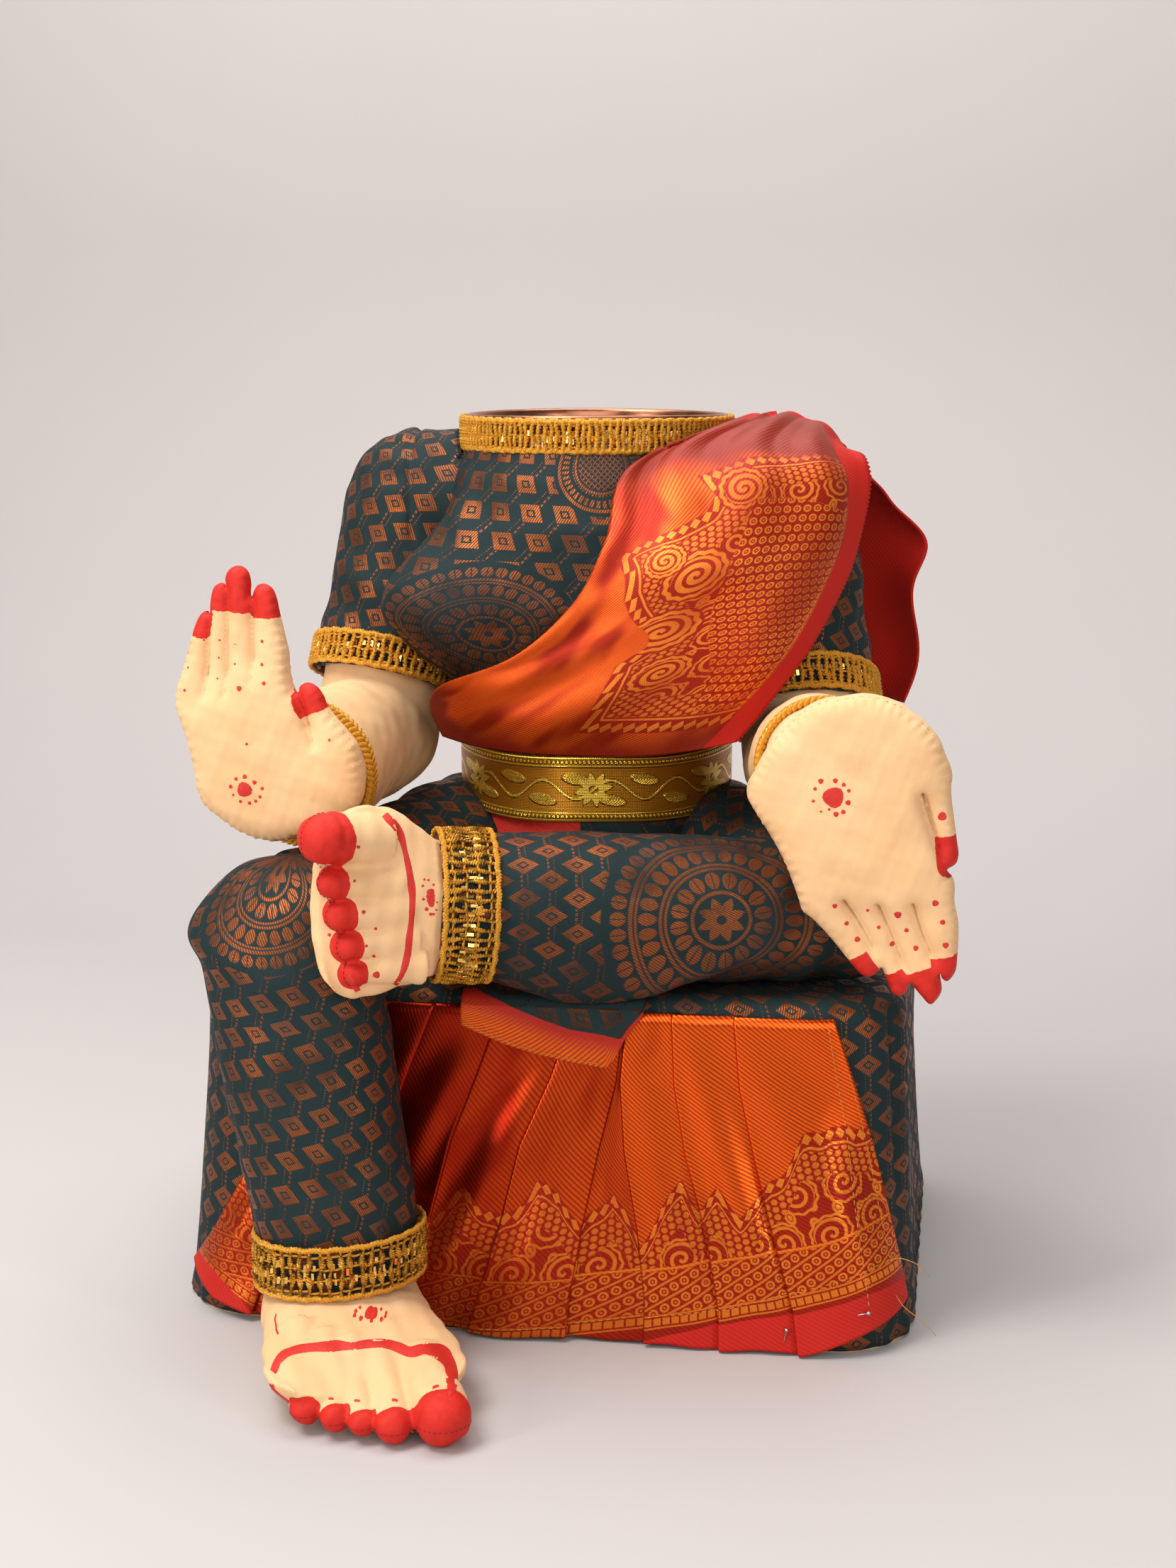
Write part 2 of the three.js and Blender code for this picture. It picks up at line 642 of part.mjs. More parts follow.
// Hands: outline and fingers as shares of the palm's half width, across towards the thumb and along the fingers
const rightPalmShares = [
  [-0.97, 0.62], [-0.86, 0.1], [-0.77, -0.25], [-0.62, -0.56], [-0.38, -0.74], [0, -0.82],
  [0.4, -0.78], [0.82, -0.55], [0.95, -0.2], [0.85, 0.15], [0.6, 0.5], [0.19, 0.79], [-0.24, 0.82], [-0.64, 0.76],
];
const rightFingerShares = [
  { base: [0, 0.55], tip: [-0.08, 1.6], radius: 0.17 },
  { base: [-0.3, 0.55], tip: [-0.34, 1.8], radius: 0.155 },
  { base: [-0.57, 0.5], tip: [-0.56, 1.62], radius: 0.14 },
  { base: [-0.81, 0.5], tip: [-0.73, 1.36], radius: 0.14 },
  { base: [0.7, 0.0], tip: [0.4, 0.66], radius: 0.17 },
];
const leftPalmShares = [
  [-1, -0.04], [-0.84, -0.37], [-0.6, -0.7], [-0.2, -0.95], [0.2, -1.02], [0.55, -0.9], [0.86, -0.62],
  [1, -0.3], [1.02, 0], [0.9, 0.45], [1.0, 1.05], [0.5, 1.1], [0.1, 1.1], [-0.4, 1.1], [-0.72, 0.42],
];
const leftFingerShares = [
  { base: [0.84, 0.95], tip: [0.97, 1.7], radius: 0.17 },
  { base: [0.48, 0.95], tip: [0.78, 1.92], radius: 0.165 },
  { base: [0.14, 0.95], tip: [0.46, 1.84], radius: 0.16 },
  { base: [-0.2, 0.95], tip: [0.12, 1.66], radius: 0.165 },
  { base: [0.9, 0.1], tip: [1.0, 0.58], radius: 0.15 },
];
// Depth and size of the pad's rings, front to back, as shares of its half thickness and outline
const padRingShares = [
  [-1, 0.5], [-0.82, 0.8], [-0.4, 0.97], [0, 1], [0.4, 0.97], [0.82, 0.8], [1, 0.5],
];
const fingerSides = 8;
const fingerTipShare = 0.92;
function handShape(at, along, outline, fingers) {
  const place = (u, v, w) => vec(at.x + palm.half * u, at.y + w, at.z + along * palm.half * v);
  const pad = skinOf(
    padRingShares.map(([depth, size]) => outline.map(([u, v]) => place(u * size, v * size, palm.thick * depth))),
  );
  return fingers.reduce((hand, { base, tip, radius }) => {
    const r = palm.half * radius;
    const half = base.map((b, i) => mix(b, tip[i], 0.5));
    const finger = limb(
      [
        { at: place(...base, 0), wide: r, deep: r },
        { at: place(...half, 0), wide: r, deep: r },
        { at: place(...tip, 0), wide: r * fingerTipShare, deep: r },
      ],
      vec(0, 1, 0),
      fingerSides,
      { endRound: r },
    );
    return hand.add(finger);
  }, pad);
}

const palmPlace = ({ x, front, above }) => vec(x, -seat.depth / 2 - front, seatTop + above);
const wristPlace = ({ x, above }) => vec(x, 0, seatTop + above);
const rightPalmAt = palmPlace(rightPalm);
const leftPalmAt = palmPlace(leftPalm);
const rightArm = arm(-1, "right", wristPlace(rightWrist), rightPalmAt, rightSleeve, mouthTurn.right);
const leftArm = arm(1, "left", wristPlace(leftWrist), leftPalmAt, leftSleeve, mouthTurn.left);
for (const [name, made, at, along, outline, fingers] of [
  ["right", rightArm, rightPalmAt, 1, rightPalmShares, rightFingerShares],
  ["left", leftArm, leftPalmAt, -1, leftPalmShares, leftFingerShares],
]) {
  // The palm closes on the end of the forearm, which sinks a little into its back.
  const stub = made.forearm.add(made.bangleMade);
  const grown = solid(new THREE.CylinderGeometry(wristRadius + gap, wristRadius + gap, palm.thick * 2, armSides));
  const wrist = name === "right" ? rightWrist : leftWrist;
  const seatOfWrist = grown.translate([wrist.x, at.y + palm.thick * 2 - palm.sink - gap, seatTop + wrist.above]);
  const hand = handShape(at, along, outline, fingers).subtract(seatOfWrist).subtract(stub);
  add(`${name}_hand`, skin, hand);
  add(`${name}_bangle`, goldLace, made.bangleMade);
}

// Legs. The right one hangs over the stool's front, and the left one is crossed on top.
const seatFront = -seat.depth / 2;
const legSides = 18;
const across = vec(1, 0, 0);
const seatCut = seatShape(-gap, -overrun, -gap);
const kneeY = seatFront - rightKnee.front;
const kneeTop = seatTop + rightKnee.top;
// Level, sideways lean, forward step, width and depth of the hanging leg, as shares of its sizes
const hangingShares = [
  [1, 0, -0.95, 0.2, 0.2],
  [0.975, 0, -0.85, 0.58, 0.6],
  [0.91, 0, -0.65, 0.9, 0.92],
  [0.82, 0, -0.4, 1.08, 1.08],
  [0.74, 0.1, -0.15, 1, 1.08],
  [0.6, 0.3, 0.2, 0.97, 1.02],
  [0.4, 0.55, 0.55, 0.94, 1],
  [0.2, 0.85, 0.85, 0.92, 0.97],
  [0, 1, 1, 0.84, 0.93],
];
function hangingLeg(grow) {
  return skinOf(
    hangingShares.map(([level, lean, step, wide, deep]) => {
      const z = mix(shin.end, kneeTop, level);
      const at = vec(rightKnee.x + shin.lean * lean, kneeY - (shin.step * step) / 2, z);
      return oval(at, across, vec(0, 1, 0), shin.wide * wide + grow, shin.deep * deep + grow, legSides);
    }),
  );
}
const ankleAt = vec(rightKnee.x + shin.lean, kneeY - shin.step / 2, shin.end);
// Everything behind the crests of the pleats, down to the floor
const crest = -seatHalf(0, 0).y - 3 * gap - pleat.cloth - pleat.deep;
const skirtCut = solid(
  new THREE.BoxGeometry(seat.width * 2, seat.depth, seat.height).translate(
    0,
    crest + seat.depth / 2,
    seat.height / 2 - overrun,
  ),
);
const rightShin = hangingLeg(0).subtract(seatCut);

// The crossed leg runs from the left knee to an ankle in front of the right one.
const crossFrom = vec(leftKnee.x, seatFront + leftKnee.behind, seatTop + leftKnee.radius + gap);
const crossTo = vec(leftAnkle.x, seatFront + leftAnkle.behind, seatTop + leftAnkle.above);
const crossAlong = crossTo.clone().sub(crossFrom).normalize();
// Place along the crossed leg and its swell there, as shares of its length and radius
const calfShares = [
  [0, 1],
  [0.3, 1.06],
  [0.65, 1.1],
  [1, 1],
];
const kneeRoundShare = 0.8;
function crossedLeg(grow) {
  const at = (share) => crossFrom.clone().lerp(crossTo, share);
  const r = (share) => mix(leftKnee.radius, leftAnkle.radius, share) + grow;
  const station = (share, swell) => ({ at: at(share), wide: r(share) * swell, deep: r(share) * swell });
  return limb(calfShares.map(([share, swell]) => station(share, swell)), across, legSides, {
    startRound: leftKnee.radius * kneeRoundShare,
  });
}
const leftShin = crossedLeg(0).subtract(seatCut).subtract(frontFlap(gap));

const footSides = 14;
const toeSides = 8;
// Feet: sections from heel to toes, and five round toes
const footSections = [
  { along: -1, half: 0.3, top: 0.5, under: 0.7 },
  { along: -0.75, half: 0.62, top: 0.85, under: 0.95 },
  { along: -0.2, half: 0.78, top: 1, under: 1 },
  { along: 0.25, half: 0.86, top: 0.86, under: 1 },
  { along: 0.55, half: 0.98, top: 0.5, under: 0.97 },
  { along: 0.8, half: 0.98, top: 0.2, under: 0.92 },
  { along: 0.95, half: 0.85, top: -0.05, under: 0.75 },
];
const toeShares = [
  { along: 1.1, aside: 0.74, size: 1 },
  { along: 1.06, aside: 0.32, size: 0.62 },
  { along: 1.0, aside: 0.04, size: 0.55 },
  { along: 0.93, aside: -0.23, size: 0.56 },
  { along: 0.82, aside: -0.5, size: 0.66 },
];
const toeLeanShare = 0.12; // how far the toe end of a foot stands out to the big toe's side
const smallToeShare = 0.8; // the small toes stand as high as this much of the big one
function footShape(at, toes, big, up, foot) {
  const place = (along, aside, height) =>
    at
      .clone()
      .addScaledVector(toes, along * (along < 0 ? foot.heel : foot.length))
      .addScaledVector(big, aside * foot.half)
      .addScaledVector(up, height);
  const pad = skinOf(
    footSections.map(({ along, half, top, under }) =>
      range(footSides).map((i) => {
        const a = (2 * Math.PI * i) / footSides;
        const lift = Math.sin(a) > 0 ? foot.rise * top * Math.sin(a) : foot.sole * under * Math.sin(a);
        return place(along, half * Math.cos(a) + toeLeanShare * Math.max(along, 0), lift);
      }),
    ),
  );
  return toeShares.reduce((made, { along, aside, size }) => {
    const r = bigToe * size;
    const centre = place(along, aside, -foot.sole + Math.max(r, bigToe * smallToeShare));
    const ball = solid(new THREE.SphereGeometry(r, toeSides, toeSides - 2)).translate(centre.toArray());
    return made.add(ball);
  }, pad);
}
const turned = vec(Math.sin(rad(footTurn)), -Math.cos(rad(footTurn)), 0);
const turnedSide = vec(Math.cos(rad(footTurn)), Math.sin(rad(footTurn)), 0);
const rightFootAt = vec(ankleAt.x, ankleAt.y, foot.sole);
const floorSlab = solid(
  new THREE.BoxGeometry(seat.width * 2, seat.depth * 4, seat.height).translate(0, 0, -seat.height / 2),
);
const standing = footShape(rightFootAt, turned, turnedSide, vec(0, 0, 1), foot);
const rightFoot = standing.subtract(hangingLeg(gap)).subtract(floorSlab).subtract(skirtCut).subtract(seatCut);

const crossFootTurn = 54; // degrees the crossed foot points forward of sideways
const crossRiseShare = 0.05; // how far its toes point up
const crossToes = vec(-Math.cos(rad(crossFootTurn)), -Math.sin(rad(crossFootTurn)), crossRiseShare).normalize();
const crossUp = vec(Math.sin(rad(crossFootTurn)), -Math.cos(rad(crossFootTurn)), 0);
const crossBig = crossToes.clone().cross(crossUp).normalize();
const leftFootAt = crossTo.clone().addScaledVector(crossAlong, -crossedFootBack).add(vec(0, 0, crossedFootLift));
const ankleShare = 0.9;
const ankleDeepShare = 0.95;
const laceRing = (from, along, wide, deep) =>
  cuff(from, along, across, wide + 2 * gap, deep + 2 * gap, ankleLace, legSides);
const leftLaceFrom = crossTo.clone().addScaledVector(crossAlong, -ankleLace.width - gap);
// The heel gives way to the lace round the ankle.
const laceClear = limb(
  [-ankleLace.width - 2 * gap, 0].map((along) => {
    const r = leftAnkle.radius + ankleLace.thick + 4 * gap;
    return { at: crossTo.clone().addScaledVector(crossAlong, along), wide: r, deep: r };
  }),
  across,
  legSides,
);
const leftFoot = mainBody(
  footShape(leftFootAt, crossToes, crossBig, crossUp, crossedFoot)
    .subtract(laceClear)
    .subtract(crossedLeg(gap))
    .subtract(hangingLeg(gap))
    .subtract(seatCut),
);
const rightLaceFrom = vec(ankleAt.x, ankleAt.y, shin.end + gap);
const rightLace = laceRing(rightLaceFrom, vec(0, 0, 1), shin.wide * ankleShare, shin.deep * ankleDeepShare)
  .subtract(hangingLeg(gap))
  .subtract(rightFoot)
  .subtract(skirtCut)
  .subtract(seatCut);
const leftLace = laceRing(leftLaceFrom, crossAlong, leftAnkle.radius + gap, leftAnkle.radius + gap)
  .subtract(crossedLeg(gap))
  .subtract(hangingLeg(gap))
  .subtract(seatCut);
// Place along a thigh and how much of the hip's extra radius is left there
const thighShares = [
  [0, 1],
  [0.35, 0.7],
  [0.7, 0.15],
  [1, 0],
];
function thighTo(side, end) {
  const from = vec(side * thigh.hipX, axis.y - thigh.hipForward, seatTop + thigh.hipRadius + gap);
  const stations = thighShares.map(([share, extra]) => {
    const r = mix(thigh.radius, thigh.hipRadius, extra);
    return { at: from.clone().lerp(end, share).setZ(seatTop + r + gap), wide: r, deep: r };
  });
  return limb(stations, across, legSides, { startRound: thigh.hipRadius / 2 });
}
const rightThighEnd = vec(rightKnee.x, seatFront, seatTop + thigh.radius + gap);
const leftThighEnd = vec(leftKnee.x, crossFrom.y, seatTop + thigh.radius + gap);
const rightThigh = thighTo(-1, rightThighEnd)
  .subtract(hangingLeg(gap))
  .subtract(crossedLeg(gap))
  .subtract(torsoWhole)
  .subtract(beltClear)
  .subtract(seatCut)
  .subtract(leftFoot)
  .subtract(leftLace);
// The left thigh gives way where the forearm above it swings.
const leftThigh = leftArm.swept.reduce(
  (made, forearm) => made.subtract(forearm),
  thighTo(1, leftThighEnd).subtract(crossedLeg(gap)).subtract(torsoWhole).subtract(beltClear).subtract(seatCut),
);
add("right_thigh", greenBrocade, rightThigh);
add("right_shin", greenBrocade, rightShin.subtract(skirtCut));
add("right_ankle_lace", goldLace, rightLace);
add("right_foot", skin, rightFoot);
add("left_thigh", greenBrocade, leftThigh);
add("left_shin", greenBrocade, leftShin.subtract(skirtCut));
add("left_ankle_lace", goldLace, leftLace);
add("left_foot", skin, leftFoot);

// Drape over the left shoulder: rows from the front hem over the shoulder to the hem at the back.
// Each point is a turn in degrees from the front, a reach as a share, and a height as a share of the torso's.
const drapeShares = [
  [[-48, 0.64, 0.425], [-30, 0.62, 0.415], [-10, 0.6, 0.41], [10, 0.62, 0.41], [28, 0.72, 0.42], [43, 0.83, 0.445]],
  [[-49, 0.68, 0.49], [-32, 0.68, 0.48], [-11, 0.67, 0.48], [12, 0.69, 0.49], [33, 0.8, 0.5], [51, 0.88, 0.53]],
  [[-36, 0.74, 0.545], [-18, 0.71, 0.55], [2, 0.69, 0.57], [24, 0.79, 0.59], [44, 0.88, 0.61], [62, 0.92, 0.63]],
  [[-14, 0.72, 0.61], [4, 0.7, 0.65], [22, 0.79, 0.69], [40, 0.88, 0.72], [56, 0.94, 0.74], [69, 0.98, 0.755]],
  [[2, 0.7, 0.71], [16, 0.75, 0.765], [32, 0.86, 0.8], [48, 0.92, 0.83], [62, 0.98, 0.845], [73, 1, 0.85]],
  [[11, 0.68, 0.83], [26, 0.71, 0.88], [41, 0.78, 0.92], [55, 0.85, 0.945], [67, 0.94, 0.95], [77, 1, 0.935]],
  [[19, 0.53, 0.965], [33, 0.55, 0.99], [48, 0.62, 1.01], [60, 0.73, 1.017], [70, 0.84, 1.01], [79, 0.97, 0.985]],
  [[50, 0.51, 1.02], [60, 0.55, 1.045], [69, 0.62, 1.058], [76, 0.7, 1.058], [81, 0.79, 1.043], [86, 0.89, 1.0]],
  [[90, 0.51, 1.045], [92, 0.55, 1.06], [93, 0.62, 1.064], [94, 0.7, 1.06], [94, 0.79, 1.045], [94, 0.885, 1.0]],
  [[126, 0.53, 1.0], [120, 0.58, 1.03], [114, 0.66, 1.035], [109, 0.75, 1.025], [104, 0.85, 0.995], [100, 0.95, 0.945]],
  [[150, 0.66, 0.88], [141, 0.68, 0.88], [132, 0.72, 0.88], [122, 0.84, 0.88], [111, 1.03, 0.87], [103, 1.15, 0.84]],
  [[156, 0.68, 0.7], [147, 0.7, 0.7], [137, 0.76, 0.7], [125, 0.88, 0.7], [113, 1.07, 0.7], [104, 1.18, 0.69]],
  [[157, 0.68, 0.47], [148, 0.7, 0.465], [138, 0.76, 0.46], [127, 0.88, 0.46], [115, 1.05, 0.455], [106, 1.15, 0.45]],
];
const drapeRows = 26;
const drapeColumns = 10;
function shoulderDrape() {
  const coarse = drapeShares.map((row) =>
    row.map(([turn, reach, height]) => {
      const above = height * torso.height;
      const inside = Math.min(above, torso.height - gap);
      const bare = above < torso.height ? torsoRadius(rad(turn), inside) + drape.rideUp + drape.cloth / 2 : 0;
      return around(rad(turn), Math.max(reach * drape.reach, bare), seatTop + above);
    }),
  );
  return sheet(smoothGrid(coarse, drapeRows, drapeColumns), drape.cloth);
}
add(
  "shoulder_drape",
  orangeBrocade,
  shoulderDrape()
    .subtract(torsoWhole)
    .subtract(neckClear)
    .subtract(leftArm.sleeveOuter)
    .subtract(leftArm.cuffLace)
    .subtract(rightArm.forearm)
    .subtract(leftArm.forearm)
    .subtract(beltBand),
);

export default group;
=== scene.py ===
import math

import bmesh
import bpy
import numpy as np
from mathutils import Matrix, Vector
from mathutils.bvhtree import BVHTree
from mathutils.geometry import delaunay_2d_cdt


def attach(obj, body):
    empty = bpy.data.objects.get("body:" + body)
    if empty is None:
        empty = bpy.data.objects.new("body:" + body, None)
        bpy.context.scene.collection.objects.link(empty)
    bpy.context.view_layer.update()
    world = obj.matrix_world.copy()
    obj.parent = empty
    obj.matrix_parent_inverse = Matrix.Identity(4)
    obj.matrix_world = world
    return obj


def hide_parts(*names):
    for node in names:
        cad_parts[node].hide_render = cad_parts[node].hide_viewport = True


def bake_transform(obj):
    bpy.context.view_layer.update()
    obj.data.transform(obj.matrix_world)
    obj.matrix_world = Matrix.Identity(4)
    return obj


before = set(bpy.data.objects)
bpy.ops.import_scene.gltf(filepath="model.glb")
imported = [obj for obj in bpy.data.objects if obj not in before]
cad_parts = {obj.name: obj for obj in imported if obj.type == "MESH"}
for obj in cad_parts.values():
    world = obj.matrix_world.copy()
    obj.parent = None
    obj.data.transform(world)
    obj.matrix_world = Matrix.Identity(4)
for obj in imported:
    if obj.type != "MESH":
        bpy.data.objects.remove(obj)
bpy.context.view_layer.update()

BODY, RIGHT, LEFT = "seated_figure", "right_forearm_and_hand", "left_forearm_and_hand"
MM = 0.001
TAU = 2 * math.pi
ACROSS, UPWARD, INWARD = (1, 0, 0), (0, 0, 1), (0, 1, 0)
UNPAINTED = -9.0


# Numbers and arrays. Lengths are in millimetres here.
def arr(*v):
    return np.array(v, float)


def unit(v):
    v = np.asarray(v, float)
    return v / np.maximum(np.linalg.norm(v, axis=-1, keepdims=True), 1e-9)


def mix(a, b, t):
    return a + (b - a) * t


def ease(t):
    t = np.clip(t, 0, 1)
    return t * t * (3 - 2 * t)


def bump(x, centre, width):
    return np.exp(-(((x - centre) / width) ** 2))


def ripple(P, size, seed, waves=9):
    """Smooth noise from -1 to 1 over points P, with features of about size."""
    rng = np.random.default_rng(seed)
    total = np.zeros(P.shape[:-1])
    for _ in range(waves):
        k = unit(rng.normal(size=3)) * TAU / (size * rng.uniform(0.7, 1.6))
        total += np.sin(P @ k + rng.uniform(0, TAU))
    return total / math.sqrt(waves)


def spline(points, n):
    """A smooth curve through points, with n + 1 places on it, even along each stretch."""
    p = np.asarray(points, float)
    p = np.concatenate([[2 * p[0] - p[1]], p, [2 * p[-1] - p[-2]]])
    t = np.linspace(0, len(p) - 3, n + 1)
    i = np.minimum(t.astype(int), len(p) - 4)
    f = (t - i)[(...,) + (None,) * (p.ndim - 1)]
    a, b, c, d = p[i], p[i + 1], p[i + 2], p[i + 3]
    return 0.5 * (2 * b + (c - a) * f + (2 * a - 5 * b + 4 * c - d) * f**2 + (3 * b - a - 3 * c + d) * f**3)


def lengths(path):
    """How far along a line each of its places is."""
    return np.concatenate([[0], np.cumsum(np.linalg.norm(np.diff(path, axis=0), axis=1))])


def along_line(path, at, s):
    """A line's places at the given lengths, where s is what lengths() says of it."""
    return np.stack([np.interp(at, s, column) for column in np.asarray(path, float).T], -1)


# Meshes
def quads(rows, cols, wrap_rows=False, wrap_cols=False, base=0):
    """Faces between neighbours in a grid of places, as an array of corner numbers."""
    R, C = np.meshgrid(np.arange(rows - (not wrap_rows)), np.arange(cols - (not wrap_cols)), indexing="ij")
    R2, C2 = (R + 1) % rows, (C + 1) % cols
    return np.stack([R * cols + C, R * cols + C2, R2 * cols + C2, R2 * cols + C], -1) + base


def as_faces(corners):
    return [tuple(f) for f in corners.reshape(-1, 4).tolist()]


def ring_solids(solids, base=0):
    """Places and faces of closed ring grids with flat ends, one after another."""
    verts, faces = [], []
    for P in solids:
        rows, cols = P.shape[:2]
        faces += as_faces(quads(rows, cols, wrap_cols=True, base=base))
        faces.append(tuple(range(base + cols - 1, base - 1, -1)))
        faces.append(tuple(range(base + (rows - 1) * cols, base + rows * cols)))
        verts.append(P.reshape(-1, 3))
        base += rows * cols
    return np.concatenate(verts), faces


def mesh_of(name, points, faces):
    me = bpy.data.meshes.new(name)
    me.from_pydata((points * MM).tolist(), [], faces)
    return me


def finish_mesh(me, material, smooth=True):
    me.materials.append(material)
    me.polygons.foreach_set("use_smooth", [smooth] * len(me.polygons))
    me.update()


def link(name, data):
    o = bpy.data.objects.new(name, data)
    bpy.context.scene.collection.objects.link(o)
    return o


def grid(name, P, material, uv=None, wrap_cols=False, caps=False, attributes=None):
    """A surface over a grid of points. Its columns can close on themselves, and its ends can be capped."""
    rows, cols = P.shape[:2]
    verts = [P.reshape(-1, 3)]
    corners = quads(rows, cols, wrap_cols=wrap_cols)
    faces, uvs = as_faces(corners), None
    if uv is not None:
        R, C = np.indices(corners.shape[:2])
        uvs = np.stack([uv[R, C], uv[R, C + 1], uv[R + 1, C + 1], uv[R + 1, C]], 2).reshape(-1, 2)
    if caps:
        for row in (0, rows - 1):
            hub = sum(len(v) for v in verts)
            verts.append(P[row].mean(0)[None])
            for j in range(cols if wrap_cols else cols - 1):
                a, b = row * cols + j, row * cols + (j + 1) % cols
                faces.append((hub, b, a) if row == 0 else (hub, a, b))
                if uvs is not None:
                    uvs = np.concatenate([uvs, [uv[row, j]] * 3])
    me = mesh_of(name, np.concatenate(verts), faces)
    if uvs is not None:
        me.uv_layers.new(name="cloth").data.foreach_set("uv", uvs.ravel())
    for key, values in (attributes or {}).items():
        full = np.zeros(len(me.vertices), np.float32)
        full[: rows * cols] = np.asarray(values, np.float32).ravel()
        me.attributes.new(key, "FLOAT", "POINT").data.foreach_set("value", full)
    finish_mesh(me, material)
    return link(name, me)


def outward(o):
    """Turns a closed mesh's faces out."""
    bm = bmesh.new()
    bm.from_mesh(o.data)
    bmesh.ops.recalc_face_normals(bm, faces=bm.faces)
    bm.to_mesh(o.data)
    bm.free()
    return o


def frames(path, up, closed):
    """Two directions square to a path at each of its points."""
    ahead = np.roll(path, -1, 0) - np.roll(path, 1, 0)
    if not closed:
        ahead[0], ahead[-1] = path[1] - path[0], path[-1] - path[-2]
    t = unit(ahead)
    side = np.cross(t, arr(*up))
    weak = np.linalg.norm(side, axis=1) < 1e-3
    side[weak] = np.cross(t[weak], arr(0.1, 1, 0))
    side = unit(side)
    return side, unit(np.cross(side, t))


def tube_points(path, radius, sides, up=(0, 0, 1), closed=False):
    a, b = frames(path, up, closed)
    th = np.linspace(0, TAU, sides, endpoint=False)
    r = np.broadcast_to(np.asarray(radius, float), (len(path),))[:, None, None]
    return path[:, None] + r * (np.cos(th)[None, :, None] * a[:, None] + np.sin(th)[None, :, None] * b[:, None])


def many_tubes(name, tubes, material):
    """One mesh of many tubes, each a (points, closed) pair of a ring grid."""
    verts, faces, n = [], [], 0
    for P, closed in tubes:
        rows, cols = P.shape[:2]
        faces += as_faces(quads(rows, cols, closed, True, n)[..., [0, 3, 2, 1]])
        if not closed:
            faces.append(tuple(range(n, n + cols)))
            faces.append(tuple(range(n + rows * cols - 1, n + rows * cols - cols - 1, -1)))
        verts.append(P.reshape(-1, 3))
        n += rows * cols
    me = mesh_of(name, np.concatenate(verts), faces)
    finish_mesh(me, material)
    return link(name, me)


def limb_points(stations, sides, round_start=0.0, round_end=0.0, side=(1, 0, 0)):
    """Rings of a limb through stations of (x, y, z, wide, deep), with rounded ends."""
    s = np.asarray(stations, float)
    at, size = s[:, :3], s[:, 3:5]
    t = unit(np.gradient(at, axis=0))
    turns = np.radians([88, 76, 62, 46, 30, 15])
    rings = []
    if round_start:
        for a in turns:
            rings.append((at[0] - t[0] * round_start * math.sin(a), size[0] * math.cos(a), t[0]))
    rings += [(at[i], size[i], t[i]) for i in range(len(s))]
    if round_end:
        for a in turns[::-1]:
            rings.append((at[-1] + t[-1] * round_end * math.sin(a), size[-1] * math.cos(a), t[-1]))
    th = np.linspace(0, TAU, sides, endpoint=False)
    out = []
    for p, (w, d), along in rings:
        up = unit(np.cross(along, arr(*side)))
        across = unit(np.cross(up, along))
        out.append(p + w * np.cos(th)[:, None] * across + d * np.sin(th)[:, None] * up)
    return np.array(out)


def limb_uv(P):
    """Around and along lengths of a ring grid, in millimetres."""
    cols = P.shape[1]
    girth = np.linalg.norm(np.roll(P, -1, 1) - P, axis=2).sum(1).max()
    return np.stack(np.meshgrid(lengths(P.mean(1)), np.linspace(0, girth, cols + 1), indexing="ij")[::-1], -1)


def fuse(name, solids, material, voxel, rounds, displace):
    """One smooth stuffed skin round several closed ring grids."""
    o = outward(link(name, mesh_of(name, *ring_solids(solids))))
    remesh = o.modifiers.new("skin", "REMESH")
    remesh.mode, remesh.voxel_size, remesh.adaptivity = "VOXEL", voxel * MM, 0
    relax = o.modifiers.new("relax", "SMOOTH")
    relax.factor, relax.iterations = 0.5, rounds
    return applied(o, material, displace)


def applied(o, material, displace):
    """Takes what the modifiers make as the mesh itself, moved on by displace(places, normals)."""
    dg = bpy.context.evaluated_depsgraph_get()
    me = bpy.data.meshes.new_from_object(o.evaluated_get(dg))
    o.modifiers.clear()
    o.data = me
    me.materials.clear()
    normals = np.zeros(len(me.vertices) * 3)
    me.vertices.foreach_get("normal", normals)
    me.vertices.foreach_set("co", (displace(points_of(o), normals.reshape(-1, 3)) * MM).ravel())
    finish_mesh(me, material)
    return o


def points_of(o):
    co = np.zeros(len(o.data.vertices) * 3)
    o.data.vertices.foreach_get("co", co)
    return co.reshape(-1, 3) / MM


def set_attribute(o, name, values):
    o.data.attributes.new(name, "FLOAT", "POINT").data.foreach_set("value", np.asarray(values, np.float32))


def thick(o, mm, offset=0.0, even=True):
    m = o.modifiers.new("cloth", "SOLIDIFY")
    m.thickness, m.offset, m.use_even_offset = mm * MM, offset, even
    return o


def ride(o, body, *nodes, slot=None):
    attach(o, body)
    if nodes:
        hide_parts(*nodes)
    return o


# Material nodes, written as sums
def srgb(r, g, b):
    return tuple(((c / 255 + 0.055) / 1.055) ** 2.4 if c > 10 else c / 255 / 12.92 for c in (r, g, b))


def feed(tree, socket, v):
    """Links a node's output to a socket, or gives the socket a number or a colour of 0 to 255."""
    if isinstance(v, E):
        tree.links.new(v.out, socket)
    elif hasattr(v, "is_output"):
        tree.links.new(v, socket)
    elif isinstance(v, tuple):
        socket.default_value = (*srgb(*v), 1)
    else:
        socket.default_value = float(v)


